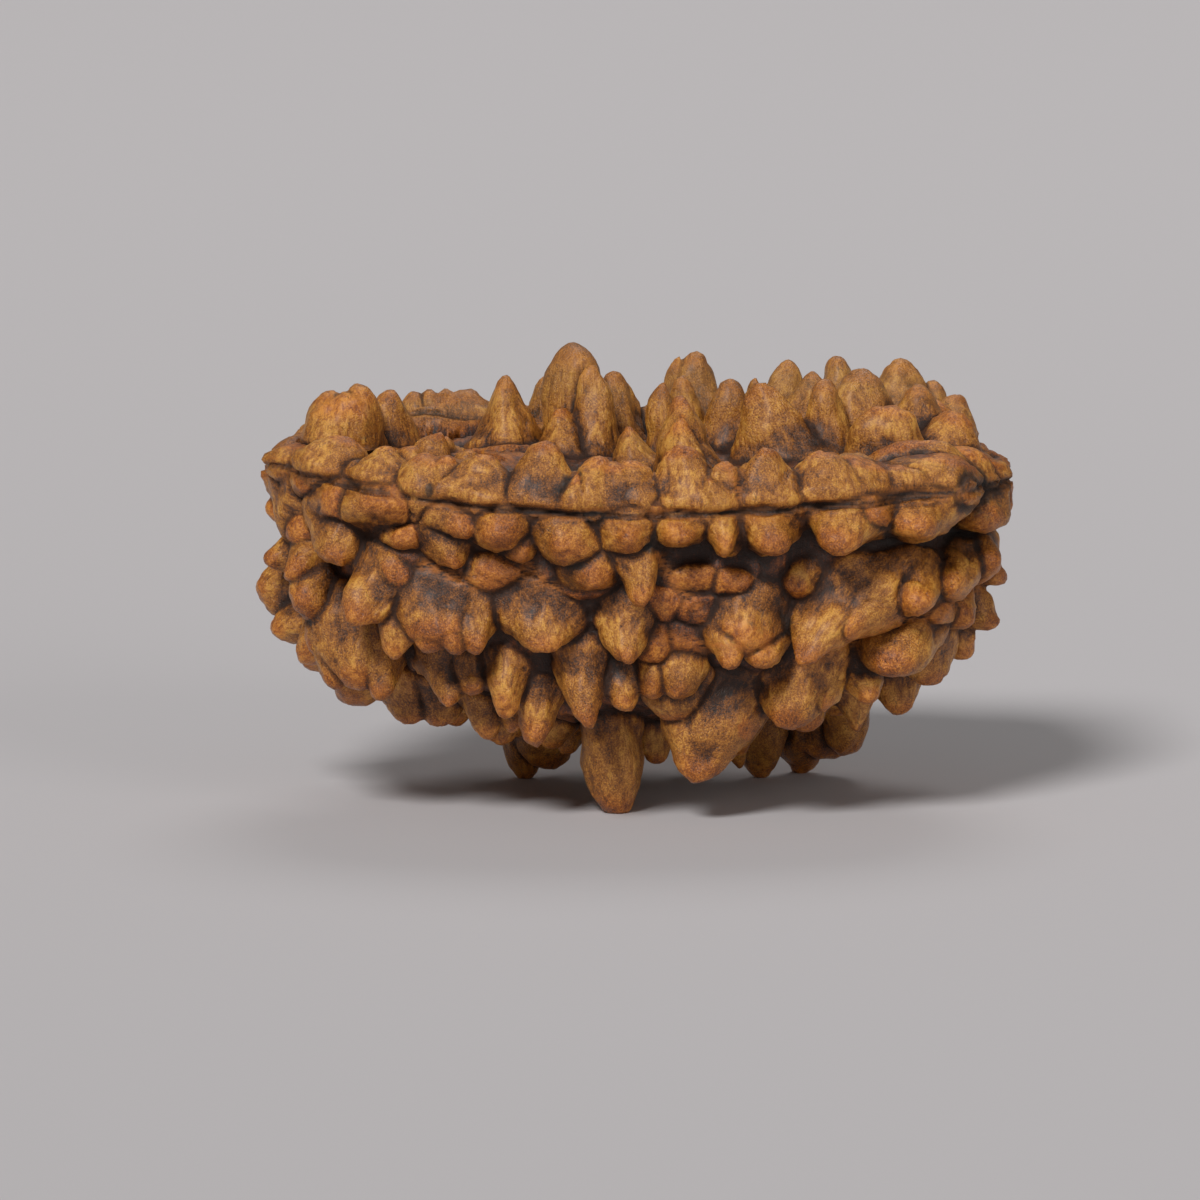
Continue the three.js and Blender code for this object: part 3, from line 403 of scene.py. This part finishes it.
class Knob:  # one lobe of the husk, as a rounded cone with its own axes
    def __init__(self, foot, tip, width, roundness, thickness=None, turn=0):
        self.foot = np.array(foot, float)
        axis = np.array(tip, float) - self.foot
        self.height = float(np.linalg.norm(axis))
        self.axis = axis / self.height
        along = np.array((0.0, 0.0, 1.0) if abs(self.axis[0]) > 0.8 else (1.0, 0.0, 0.0))
        side = along - self.axis * along.dot(self.axis)
        side /= np.linalg.norm(side)
        other = np.cross(side, self.axis)
        angle = math.radians(turn)
        self.side = side * math.cos(angle) - other * math.sin(angle)
        self.other = np.cross(self.side, self.axis)
        self.halfWidth = width / 2
        self.halfThickness = (thickness or width) / 2
        self.power = 1.35 + 0.8 * roundness
        self.flare = husk["flare"] * (1.1 - roundness)
        self.rootLength = 2.5 if self.axis[2] < 0.6 else 1.1
        self.rootPower = self.power if self.axis[2] < 0.6 else 1.4

    def local(self, points):
        offset = points - self.foot
        return offset @ self.side, offset @ self.other, offset @ self.axis

    def surfacePoints(self, directions):  # a ball's points pushed onto the lobe, its pole at the tip
        up = directions[:, 2]
        power = np.where(up > 0, self.power, self.rootPower)
        level = np.abs(up) ** (2 / power)
        girth = np.sqrt(np.clip(1 - up ** 2, 0, 1)) ** (2 / power)
        flare = 1 + self.flare * (1 - np.where(up > 0, level, 0)) ** 3
        around = np.hypot(directions[:, 0], directions[:, 1]) + 1e-9
        u = directions[:, 0] / around * girth * flare * self.halfWidth
        w = directions[:, 1] / around * girth * flare * self.halfThickness
        t = np.where(up > 0, level * self.height, -level * self.rootLength)
        return self.foot + u[:, None] * self.side + w[:, None] * self.other + t[:, None] * self.axis

    def field(self, points):  # distance outside the lobe in millimetres, and the way out
        u, w, t = self.local(points)
        n = np.where(t > 0, self.power, self.rootPower)
        level = np.abs(t) / np.where(t > 0, self.height, self.rootLength)
        flare = 1 + self.flare * np.clip(1 - np.where(t > 0, level, 0), 0, 1) ** 3
        a, b = self.halfWidth * flare, self.halfThickness * flare
        girth = np.hypot(u / a, w / b) + 1e-6
        reach = (girth ** n + level ** n) ** (1 / n) + 1e-6
        girthShare = (girth / reach) ** (n - 1) / girth
        slopeU, slopeW = girthShare * u / a ** 2, girthShare * w / b ** 2
        slopeT = (level / reach) ** (n - 1) * np.sign(t) / np.where(t > 0, self.height, self.rootLength)
        steep = np.sqrt(slopeU ** 2 + slopeW ** 2 + slopeT ** 2) + 1e-6
        way = (slopeU / steep)[:, None] * self.side + (slopeW / steep)[:, None] * self.other
        way = way + (slopeT / steep)[:, None] * self.axis
        return (reach - 1) / steep, way


def shoulderField(points):
    size = np.array(bowl["shoulderRadii"])
    share = (points - np.array(bowl["shoulderCentre"])) / size
    reach = np.linalg.norm(share, axis=1) + 1e-6
    slope = share / reach[:, None] / size
    steep = np.linalg.norm(slope, axis=1) + 1e-6
    return (reach - 1) / steep, slope / steep[:, None]


def seamTable():  # the seam's distance from the upright axis and its height, by angle round that axis
    rear = [(x, -y, z) for x, y, z in reversed(seam["front"][1:-1])]
    points = np.array(seam["front"] + rear)
    count = len(points)
    steps = np.linspace(0, 1, 24, endpoint=False)[:, None]
    line = []
    for i in range(count):
        p0, p1, p2, p3 = (points[(i + k) % count] for k in (-1, 0, 1, 2))
        line.append(
            0.5 * (2 * p1 + (p2 - p0) * steps + (2 * p0 - 5 * p1 + 4 * p2 - p3) * steps ** 2
                   + (3 * p1 - p0 - 3 * p2 + p3) * steps ** 3)
        )
    line = np.concatenate(line)
    angle = np.arctan2(line[:, 1], line[:, 0])
    order = np.argsort(angle)
    return angle[order], np.hypot(line[:, 0], line[:, 1])[order], line[order, 2]


seamAngles, seamReaches, seamHeights = seamTable()


def fromSeam(points):  # how far outside and how far above the seam a point is
    angle = np.arctan2(points[:, 1], points[:, 0])
    reach = np.interp(angle, seamAngles, seamReaches, period=2 * math.pi)
    height = np.interp(angle, seamAngles, seamHeights, period=2 * math.pi)
    return np.hypot(points[:, 0], points[:, 1]) - reach, points[:, 2] - height


def lipField(points):
    outside, above = fromSeam(points)
    outside = np.maximum(outside + seam["lipInset"], 0)
    distance = np.hypot(outside, above) + 1e-6
    flat = np.hypot(points[:, 0], points[:, 1])[:, None] + 1e-6
    way = np.stack([points[:, 0] / flat[:, 0], points[:, 1] / flat[:, 0], np.zeros(len(points))], 1)
    way = way * (outside / distance)[:, None]
    way[:, 2] = above / distance
    return distance - seam["lipRadius"], way


def allKnobs():
    groups = knobGroups
    shaped = [knob for group in groups.values() for knob in group]
    shaped += rearKnobs()
    shaped += fillerKnobs(1, groups["crown"] + groups["aboveSeam"] + groups["rearWall"])
    shaped += fillerKnobs(-1, groups["underside"] + groups["standing"] + groups["lowerLedge"])
    return [Knob(*knob) for knob in shaped]


def coordinates(mesh):
    flat = np.empty(len(mesh.vertices) * 3)
    mesh.vertices.foreach_get("co", flat)
    return flat.reshape(-1, 3)


def reshape(shaped, points):
    shaped.data.vertices.foreach_set("co", np.ascontiguousarray(points, dtype=np.float64).ravel())
    shaped.data.update()


def finishWith(shaped, kind, **settings):
    bpy.ops.object.select_all(action="DESELECT")
    shaped.select_set(True)
    bpy.context.view_layer.objects.active = shaped
    modifier = shaped.modifiers.new(kind.lower(), kind)
    for key, value in settings.items():
        setattr(modifier, key, value)
    bpy.ops.object.modifier_apply(modifier=modifier.name)


def ballPiece(segments, rings):
    bpy.ops.object.select_all(action="DESELECT")
    bpy.ops.mesh.primitive_uv_sphere_add(segments=segments, ring_count=rings, radius=1)
    return bpy.context.active_object


def roughSeed(knobs):  # all lobes, the bowl and the seam's lip, joined and made one skin
    parts = []
    first = ballPiece(18, 14)
    directions = coordinates(first.data)
    for i, knob in enumerate(knobs):
        lobe = first
        if i:
            lobe = first.copy()
            lobe.data = first.data.copy()
            bpy.context.collection.objects.link(lobe)
        reshape(lobe, knob.surfacePoints(directions))
        parts.append(lobe)
    bowlPiece = ballPiece(96, 64)
    ways = coordinates(bowlPiece.data)
    n = bowl["squareness"]
    height = np.where(ways[:, 2] < 0, bowl["below"], bowl["above"])[:, None]
    share = np.abs(ways) / np.concatenate(
        [np.full_like(height, bowl["halfLength"]), np.full_like(height, bowl["halfDepth"]), height], 1)
    reshape(bowlPiece, ways / ((share ** n).sum(1) ** (1 / n))[:, None])
    shoulder = ballPiece(48, 32)
    reshape(shoulder, coordinates(shoulder.data) * bowl["shoulderRadii"] + np.array(bowl["shoulderCentre"]))
    ringRadius = 12
    bpy.ops.mesh.primitive_torus_add(
        major_segments=144, minor_segments=12, major_radius=ringRadius, minor_radius=seam["lipRadius"])
    lip = bpy.context.active_object
    ring = coordinates(lip.data)
    reach = np.hypot(ring[:, 0], ring[:, 1])
    beyond, above = fromSeam(ring)
    wanted = (2 * reach - ringRadius - beyond - seam["lipInset"]) / reach
    reshape(lip, np.stack([ring[:, 0] * wanted, ring[:, 1] * wanted, 2 * ring[:, 2] - above], 1))
    parts += [bowlPiece, shoulder, lip]
    bpy.ops.object.select_all(action="DESELECT")
    for part in parts:
        part.select_set(True)
    bpy.context.view_layer.objects.active = bowlPiece
    bpy.ops.object.join()
    bowlPiece.name = "seedHusk"
    bowlPiece.data.name = "seedHusk"
    return bowlPiece


def skinField(points, knobs, blend):
    # Smooth union of everything: distance, way out, number of the nearest lobe (-1 on the bowl),
    # and how deep the groove between the two nearest is, which also sets the shade and dark crease painted
    # into it.
    parts = [field(points) for field in (bowlField, shoulderField, lipField)]
    weights = [np.exp(-np.clip(distance, -3, 6) / blend) for distance, out in parts]
    total = sum(weights)
    way = sum(out * weight[:, None] for (distance, out), weight in zip(parts, weights))
    choice = np.argmin([distance for distance, out in parts], axis=0)
    nearest = np.choose(choice, [distance for distance, out in parts])
    ways = [np.choose(choice, [out[:, axis] for distance, out in parts]) for axis in range(3)]
    nearestWay = np.stack(ways, 1)
    second = np.full(len(points), 9.0)
    secondWay = nearestWay.copy()
    owner = np.full(len(points), -1)
    for number, knob in enumerate(knobs):
        middle = knob.foot + knob.axis * knob.height / 2
        room = knob.height / 2 + knob.halfWidth * 1.3 + 1.0
        near = np.nonzero(((points - middle) ** 2).sum(1) < room ** 2)[0]
        if not len(near):
            continue
        distance, out = knob.field(points[near])
        weight = np.exp(-np.clip(distance, -3, 6) / blend)
        total[near] += weight
        way[near] += out * weight[:, None]
        closer = distance < nearest[near]
        between = ~closer & (distance < second[near])
        first, middling = near[closer], near[between]
        second[first], secondWay[first] = nearest[first], nearestWay[first]
        nearest[first], nearestWay[first], owner[first] = distance[closer], out[closer], number
        second[middling], secondWay[middling] = distance[between], out[between]
    length = np.linalg.norm(way, axis=1)[:, None] + 1e-9
    corner = np.linalg.norm(nearestWay - secondWay, axis=1)
    apart = (second - nearest) / np.maximum(corner, 0.2)
    groove = np.exp(-(apart / husk["grooveWidth"]) ** 2) * smoothStep(0.45, 1.2, corner)
    return -blend * np.log(total + 1e-30), way / length, owner, groove


def warpAt(points):
    places = points / husk["warpSize"]
    return np.array([noise.noise_vector(place) for place in places.tolist()]) * husk["warpReach"]


def cellsAt(points, size):  # 0 on the net between the cells of bare skin, 1 inside a cell
    places = points / size
    reaches = np.array([noise.voronoi(place)[0][:2] for place in places.tolist()])
    return smoothStep(0.0, 0.3, reaches[:, 1] - reaches[:, 0])


def noiseAt(points, size, octaves=2):
    places = points / size
    return np.array([noise.fractal(place, 1.0, 2.0, octaves) for place in places.tolist()])


def lobePlace(points, knobs, owner):
    # Millimetres across, across and along the lobe that a point is on, so that grain can run along it.
    frames = np.array([[k.side, k.other, k.axis] for k in knobs] + [np.eye(3)])
    feet = np.array([k.foot for k in knobs] + [(0.0, 0.0, 0.0)])
    heights = np.array([k.height for k in knobs] + [1.0])
    place = np.einsum("nij,nj->ni", frames[owner], points - feet[owner])
    return place, heights[owner]


def relief(points, knobs, owner, groove):
    place, heights = lobePlace(points, knobs, owner)
    apart = place + owner[:, None] * husk["grainShift"]
    lumps = noiseAt(points, husk["lumpSize"], 2) * husk["lumpHeight"]
    creases = np.abs(noiseAt(points + 20, husk["creaseSize"], 2))
    lumps = lumps - husk["creaseHeight"] * np.exp(-(creases / 0.09) ** 2)
    ribs = noiseAt(apart * np.array((2.6, 2.6, 0.45)), 1.0, 2) * husk["ribHeight"]
    wrinkles = noiseAt(points + 40, 0.45, 2) * husk["wrinkleHeight"]
    wander = 0.65 + 0.5 * noiseAt(points + 90, 1.6, 1)
    cut = groove * husk["grooveDepth"] * np.clip(wander, 0.1, 1.1)
    outside, above = fromSeam(points)
    bySeam = np.where(outside > -1.3, 1.0, 0.0)
    seamCut = 0.22 * np.exp(-(above / 0.1) ** 2) * bySeam
    fibres = 0.05 * np.sin(above * 26 + 3 * noiseAt(points * np.array((0.5, 0.5, 1.0)), 1.0, 1))
    fibres = fibres * np.exp(-(above / 0.5) ** 2) * bySeam
    cells = np.zeros(len(points))
    bare = np.nonzero((owner < 0) & (above < -1.0))[0]
    if len(bare):
        cells[bare] = cellsAt(points[bare] + warpAt(points[bare]) * 2, husk["cellSize"]) * husk["cellHeight"]
    return lumps + ribs + wrinkles - cut - seamCut + fibres + cells


def thinTo(piece, most):
    piece.data.calc_loop_triangles()
    made = len(piece.data.loop_triangles)
    if made > most:
        finishWith(piece, "DECIMATE", ratio=most / made)
    print("husk triangles", made, "kept", min(made, most))


def cavity(piece, turns=24):
    # How far a point lies below its surroundings, in millimetres.
    mesh = piece.data
    edges = np.empty(len(mesh.edges) * 2, dtype=np.int64)
    mesh.edges.foreach_get("vertices", edges)
    edges = edges.reshape(-1, 2)
    ends, starts = np.concatenate([edges[:, 0], edges[:, 1]]), np.concatenate([edges[:, 1], edges[:, 0]])
    points = coordinates(mesh)
    count = np.maximum(np.bincount(ends, minlength=len(points)), 1)
    smooth = points.copy()
    for _ in range(turns):
        sums = [np.bincount(ends, weights=smooth[starts, axis], minlength=len(points)) for axis in range(3)]
        smooth = np.stack([total / count for total in sums], 1)
    normals = np.empty(len(points) * 3)
    mesh.vertex_normals.foreach_get("vector", normals)
    return ((smooth - points) * normals.reshape(-1, 3)).sum(1)


def keep(piece, name, kind, values):
    attribute = piece.data.attributes.new(name, kind, "POINT")
    field = "vector" if kind == "FLOAT_VECTOR" else "value"
    attribute.data.foreach_set(field, np.ascontiguousarray(values, dtype=np.float32).ravel())


# Marks on the side that faces the viewer, by where they are seen: across and up, in millimetres.
marks = {
    "dirt": [
        (-8.6, -0.5, 0.5), (-3.1, -0.2, 0.45), (-1.8, -1.4, 0.5), (0.6, -2.6, 0.5), (-2.5, -3.8, 0.6),
        (-2.0, -9.7, 0.6), (5.1, -5.7, 0.7), (9.8, -2.2, 0.5), (12.8, -2.4, 0.8), (-11.0, 2.0, 0.45),
        (13.6, -1.0, 1.1), (13.2, -0.1, 0.7), (11.0, 1.1, 0.35), (4.7, -5.6, 0.5), (5.6, -5.8, 0.5),
    ],
    "fibreLines": [
        [(14.7, -3.5), (11.9, -5.4), (9.8, -5.8), (8.4, -6.4), (6.4, -7.3)],
        [(-4.8, -3.0), (-4.0, -3.9), (-3.3, -4.4)],
        [(3.4, 0.6), (3.7, 0.0), (3.8, -0.6)],
        [(0.6, -3.0), (1.4, -4.2), (2.4, -5.4)],
        [(-8.6, -3.4), (-6.6, -4.2), (-4.6, -3.7)],
        [(0.8, -6.2), (2.6, -6.6), (5.0, -6.6)],
    ],
    "fibreWidth": 0.22,
    "lean": 0.158,  # how far a point nearer the viewer is seen lower down
    "upScale": 1.012,
}


def seenMarks(points):  # how dirty and how fibrous each point is
    across = points[:, 0]
    up = (points[:, 2] + marks["lean"] * points[:, 1]) / marks["upScale"]
    front = smoothStep(0.0, 3.0, -points[:, 1])
    dirt = np.zeros(len(points))
    for x, v, radius in marks["dirt"]:
        dirt = np.maximum(dirt, np.exp(-((across - x) ** 2 + (up - v) ** 2) / radius ** 2))
    fibres = np.zeros(len(points))
    for line in marks["fibreLines"]:
        for (x0, v0), (x1, v1) in zip(line, line[1:]):
            length = math.hypot(x1 - x0, v1 - v0)
            share = np.clip(((across - x0) * (x1 - x0) + (up - v0) * (v1 - v0)) / length ** 2, 0, 1)
            apart = np.hypot(across - x0 - share * (x1 - x0), up - v0 - share * (v1 - v0))
            fibres = np.maximum(fibres, np.exp(-(apart / marks["fibreWidth"]) ** 2))
    return dirt * front, fibres * front


def growHusk():
    noise.seed_set(husk["warpSeed"])  # without it the warp differs from run to run
    knobs = allKnobs()
    piece = roughSeed(knobs)
    print("knobs", len(knobs))
    finishWith(piece, "REMESH", mode="VOXEL", voxel_size=husk["voxel"], use_smooth_shade=True)
    points = coordinates(piece.data)
    print("skin points", len(points))
    warp = warpAt(points)
    for _ in range(4):
        distance, way, owner, groove = skinField(points + warp, knobs, husk["blend"])
        points = points - way * np.clip(distance, -0.25, 0.25)[:, None]
    distance, way, owner, groove = skinField(points + warp, knobs, husk["blend"])
    points = points + way * relief(points, knobs, owner, groove)[:, None]
    points[:, 2] = np.maximum(points[:, 2], restHeight)
    reshape(piece, points)
    thinTo(piece, husk["mostTriangles"])

    points = coordinates(piece.data)
    distance, way, owner, groove = skinField(points + warpAt(points), knobs, husk["blend"])
    place, heights = lobePlace(points, knobs, owner)
    outside, above = fromSeam(points)
    onLobe = owner >= 0
    bowlDistance = bowlField(points)[0]
    grainPlace = np.where(onLobe[:, None], place + owner[:, None] * husk["grainShift"], points)
    keep(piece, "grainPlace", "FLOAT_VECTOR", grainPlace)
    # The groove strength also paints shade and dark creases between the lobes.
    keep(piece, "groove", "FLOAT", groove)
    keep(piece, "tip", "FLOAT", np.where(onLobe, smoothStep(0.45, 1.0, place[:, 2] / heights), 0))
    # How deep in the troughs near the bowl a point lies; the material paints shade there with it.
    keep(piece, "hollow", "FLOAT", (1 - smoothStep(0.1, 1.5, bowlDistance)) * np.where(onLobe, 0.35, 1.0))
    # The cavity measure also paints raised parts lighter and sunk parts darker: painted light and shade.
    keep(piece, "cavity", "FLOAT", np.clip(0.5 + cavity(piece) / 0.5, 0, 1))
    # How high a point sits; the material paints the higher parts lighter with it, as painted top light.
    keep(piece, "height", "FLOAT", smoothStep(0.0, 5.0, points[:, 2] + 0.25 * points[:, 1]))
    keep(piece, "bySeam", "FLOAT", np.exp(-(above / 0.4) ** 2) * (outside > -1.5))
    keep(piece, "seamLine", "FLOAT", np.exp(-(above / 0.11) ** 2) * (outside > -1.5))
    dirt, fibres = seenMarks(points)
    keep(piece, "dirt", "FLOAT", dirt)
    keep(piece, "fibres", "FLOAT", fibres)
    low, high = points.min(0), points.max(0)
    shift = np.array((-(low[0] + high[0]) / 2, -(low[1] + high[1]) / 2, -restHeight))
    reshape(piece, (points + shift) * millimetre)
    for face in piece.data.polygons:
        face.use_smooth = True
    return piece, Vector(shift)


class Socket:  # a shader value that takes part in Python expressions
    def __init__(self, nodes, output):
        self.nodes = nodes
        self.output = output

    def math(self, operation, *others, swap=False):
        values = [self, *others]
        if swap:
            values.reverse()
        return self.nodes.make("ShaderNodeMath", {"operation": operation}, values)

    def __add__(self, other):
        return self.math("ADD", other)

    def __radd__(self, other):
        return self.math("ADD", other)

    def __sub__(self, other):
        return self.math("SUBTRACT", other)

    def __rsub__(self, other):
        return self.math("SUBTRACT", other, swap=True)

    def __mul__(self, other):
        return self.math("MULTIPLY", other)

    def __rmul__(self, other):
        return self.math("MULTIPLY", other)

    def __pow__(self, other):
        return self.math("POWER", other)

    def between(self, low, high):  # 0 at low, 1 at high, smooth in between
        settings = {"interpolation_type": "SMOOTHSTEP"}
        values = {"Value": self, "From Min": low, "From Max": high}
        return self.nodes.make("ShaderNodeMapRange", settings, values)


class Nodes:  # the node tree of one material
    def __init__(self, name):
        self.material = bpy.data.materials.new(name)
        self.material.use_nodes = True
        self.tree = self.material.node_tree
        self.shader = next(node for node in self.tree.nodes if node.type == "BSDF_PRINCIPLED")

    def make(self, kind, settings=None, values=None, output=0):
        node = self.tree.nodes.new(kind)
        for key, value in (settings or {}).items():
            if key == "stops":
                self.fillRamp(node, value)
            else:
                setattr(node, key, value)
        pairs = values.items() if isinstance(values, dict) else enumerate(values or [])
        for key, value in pairs:
            self.feed(node.inputs[key], value)
        return Socket(self, node.outputs[output])

    def fillRamp(self, node, stops):
        elements = node.color_ramp.elements
        while len(elements) < len(stops):
            elements.new(1.0)
        for element, (place, colour) in zip(elements, stops):
            element.position = place
            element.color = colour

    def feed(self, socket, value):
        if isinstance(value, Socket):
            self.tree.links.new(value.output, socket)
        else:
            socket.default_value = value

    def attribute(self, name, output="Fac"):
        return self.make("ShaderNodeAttribute", {"attribute_name": name}, output=output)

    def scaled(self, vector, scale):
        return self.make("ShaderNodeVectorMath", {"operation": "MULTIPLY"}, [vector, scale])

    def noise(self, vector, scale, detail=2, roughness=0.5, distortion=0.0):
        values = {"Vector": vector, "Scale": scale, "Detail": detail, "Roughness": roughness}
        values["Distortion"] = distortion
        return self.make("ShaderNodeTexNoise", None, values)

    def mix(self, share, first, second, how="MIX"):
        settings = {"data_type": "RGBA", "blend_type": how, "clamp_factor": True}
        return self.make("ShaderNodeMix", settings, {0: share, 6: first, 7: second}, output=2)


def colour(red, green, blue):  # an sRGB colour as the screen shows it, made linear
    def linear(value):
        return value / 12.92 if value <= 0.04045 else ((value + 0.055) / 1.055) ** 2.4

    return linear(red / 255), linear(green / 255), linear(blue / 255), 1.0


huskLook = {
    "grain": [
        (0.08, colour(30, 14, 4)),
        (0.28, colour(80, 42, 10)),
        (0.45, colour(132, 77, 20)),
        (0.62, colour(174, 108, 34)),
        (0.88, colour(222, 160, 68)),
    ],
    "tip": colour(255, 212, 160),
    # a warm tint multiplied into the troughs, as painted shade
    "hollow": colour(238, 198, 140),
    # dark brown for painted shade in the grooves and deep hollows, for the dark creases and for the cracks
    "groove": colour(58, 30, 12),
    "dirt": colour(26, 16, 8),
    "fibre": colour(196, 118, 46),
    # a lighter, greyer tan that the higher parts are painted towards, as painted top light
    "paintedTopLight": colour(164, 128, 78),
}


def huskMaterial():
    nodes = Nodes("husk")
    look = huskLook
    place = nodes.scaled(nodes.make("ShaderNodeTexCoord", output="Object"), (1000, 1000, 1000))
    grain = nodes.attribute("grainPlace", "Vector")
    groove = nodes.attribute("groove")
    tip = nodes.attribute("tip")
    hollow = nodes.attribute("hollow")
    cavityShare = nodes.attribute("cavity")
    bySeam = nodes.attribute("bySeam")
    height = nodes.attribute("height")
    seamLine = nodes.attribute("seamLine")
    dirt = nodes.attribute("dirt")
    fibres = nodes.attribute("fibres")

    patches = nodes.noise(place, 0.45, 2, 0.5)
    mottle = nodes.noise(place, 2.4, 4, 0.6)
    grit = nodes.noise(place, 14.0, 3, 0.75)
    flow = nodes.noise(nodes.scaled(grain, (5.0, 5.0, 0.8)), 1.0, 4, 0.65, 0.3)
    cracks = nodes.noise(nodes.scaled(grain, (0.9, 0.9, 0.35)), 1.0, 3, 0.6, 0.5)
    dirtSpots = nodes.noise(place, 1.1, 3, 0.65)
    threads = nodes.noise(nodes.scaled(place, (0.5, 0.5, 9.0)), 1.0, 2, 0.6)
    streaky = patches.between(0.4, 0.6)  # where grain runs along the lobe, and not as specks

    # Painted light and shade: raised parts are painted lighter and sunk parts darker by the cavity measure,
    # and the troughs near the bowl darker still.
    raisedLight = 1 - cavityShare.between(0.2, 0.5)
    deep = cavityShare.between(0.5, 0.8)
    tone = 0.5 + (grit - 0.5) * (1.35 - streaky * 0.5) + (flow - 0.5) * (0.4 + streaky * 0.8)
    tone = tone + (mottle - 0.5) * 0.6 + (patches - 0.5) * 0.6 + raisedLight * 0.26 - deep * 0.26
    tone = tone - hollow * 0.1 - 0.11
    base = nodes.make("ShaderNodeValToRGB", {"stops": look["grain"]}, [tone])
    base = nodes.mix(tip.between(0.5, 1.0) * 0.6, base, look["tip"], "MULTIPLY")
    # Painted shade: the troughs between the lobes are multiplied darker and warmer.
    base = nodes.mix(hollow.between(0.2, 1.0) * 0.7, base, look["hollow"], "MULTIPLY")
    # Painted top light: parts higher up are painted towards a lighter, greyer tan.
    base = nodes.mix(height.between(0.5, 1.0) * 0.3, base, look["paintedTopLight"])
    base = nodes.mix(bySeam * threads.between(0.35, 0.65) * 0.6, base, look["fibre"])
    # Painted shade: deep cavities are painted towards the dark groove brown.
    base = nodes.mix(deep * 0.4, base, look["groove"])
    # The grooves between the lobes are painted dark brown, partly as painted shade and partly as the dark
    # creases where lobes meet.
    uneven = 0.25 + mottle.between(0.4, 0.6) * 0.5
    base = nodes.mix(groove.between(0.35, 1.0) * uneven, base, look["groove"])
    base = nodes.mix(seamLine * 0.8, base, look["dirt"])
    crack = 1 - (cracks - 0.5).math("ABSOLUTE").between(0.0, 0.006)
    base = nodes.mix(crack * mottle.between(0.45, 0.6) * 0.7, base, look["groove"])
    strands = fibres * nodes.noise(nodes.scaled(place, (3.0, 3.0, 9.0)), 1.0, 2, 0.6).between(0.35, 0.6)
    base = nodes.mix(strands * 0.75, base, look["fibre"])
    black = dirtSpots.between(0.58, 0.64) * (groove + deep).between(0.3, 0.8)
    marked = dirt.between(0.25, 0.6) * (mottle * 0.8 + groove * 0.6 + deep * 0.6).between(0.35, 0.6)
    base = nodes.mix((black * 0.6 + marked) * 0.8, base, look["dirt"])

    fine = grit * 1.0 + flow * 0.8 + nodes.noise(place, 14.0, 2, 0.6) * 0.3 + mottle * 1.0 - crack * 0.5
    bump = nodes.make("ShaderNodeBump", None, {"Strength": 0.5, "Distance": 0.00012, "Height": fine})
    rough = 0.38 - tip * 0.05 + grit.between(0.4, 0.65) * 0.12 + groove * 0.3
    nodes.feed(nodes.shader.inputs["Base Color"], base)
    nodes.feed(nodes.shader.inputs["Roughness"], rough)
    nodes.feed(nodes.shader.inputs["Normal"], bump)
    nodes.shader.inputs["Coat Roughness"].default_value = 0.4
    nodes.feed(nodes.shader.inputs["Coat Weight"], 0.26 - groove * 0.2 - deep * 0.2 - bySeam * 0.15)
    return nodes.material


stageLook = {
    "floorSize": 3.0,
    "floorColour": colour(199, 195, 196),
    "ambient": 0.12,
    "key": {"kind": "SUN", "place": (-0.15, -0.34, 0.36), "spread": 0.3, "power": 2.3},
    "fill": {"kind": "AREA", "place": (0.3, -0.35, 0.2), "spread": 0.25, "power": 0.4},
    "back": {"kind": "AREA", "place": (0.05, 0.3, 0.4), "spread": 0.25, "power": 0.45},
}


def floorMaterial():
    nodes = Nodes("floorPaper")
    place = nodes.make("ShaderNodeTexCoord", output="Object")
    tone = nodes.noise(place, 3.0, 2, 0.5)
    light = stageLook["floorColour"]
    dim = tuple(0.98 * value for value in light[:3]) + (1.0,)
    nodes.feed(nodes.shader.inputs["Base Color"], nodes.mix(tone, light, dim))
    nodes.shader.inputs["Roughness"].default_value = 0.9
    return nodes.material


def makeLight(name, look, target):
    bpy.ops.object.select_all(action="DESELECT")
    bpy.ops.object.light_add(type=look["kind"], location=look["place"])
    light = bpy.context.active_object
    light.name = name
    if look["kind"] == "SUN":
        light.data.angle = look["spread"]
    else:
        light.data.shape = "DISK"
        light.data.size = look["spread"]
    light.data.energy = look["power"]
    light.rotation_euler = (target - Vector(look["place"])).to_track_quat("-Z", "Y").to_euler()


def makeStage(target):
    bpy.context.scene.view_settings.view_transform = "Standard"
    bpy.ops.object.select_all(action="DESELECT")
    bpy.ops.mesh.primitive_plane_add(size=stageLook["floorSize"])
    floor = bpy.context.active_object
    floor.name = "floorPaper"
    floor.data.materials.append(floorMaterial())
    for name in ("key", "fill", "back"):
        makeLight(name + "Light", stageLook[name], target)
    world = bpy.data.worlds.new("studio")
    bpy.context.scene.world = world
    world.use_nodes = True
    background = world.node_tree.nodes["Background"]
    background.inputs["Color"].default_value = (1.0, 0.99, 0.98, 1.0)
    background.inputs["Strength"].default_value = stageLook["ambient"]


view = {
    "elevation": 9.0,
    "distance": 0.7,
    "frameWidth": 0.048,
    "middle": (-1.6, 0.0, -4.86),  # the frame's middle, in the seed's own millimetres
    "sensor": 36.0,
}


def makeCamera(shift):
    target = (Vector(view["middle"]) + shift) * millimetre
    angle = math.radians(view["elevation"])
    place = target + view["distance"] * Vector((0, -math.cos(angle), math.sin(angle)))
    bpy.ops.object.select_all(action="DESELECT")
    bpy.ops.object.camera_add(location=place)
    camera = bpy.context.active_object
    camera.rotation_euler = (target - place).to_track_quat("-Z", "Y").to_euler()
    camera.data.sensor_width = view["sensor"]
    camera.data.lens = view["sensor"] * view["distance"] / view["frameWidth"]
    camera.data.clip_start = 0.01
    bpy.context.scene.camera = camera
    return target


seedPiece, shift = growHusk()
seedPiece.data.materials.clear()
seedPiece.data.materials.append(huskMaterial())
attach(seedPiece, "root")
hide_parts("rudraksha_seed")
print("seed made")

target = makeCamera(shift)
makeStage(target)
print("stage, lights and camera made")
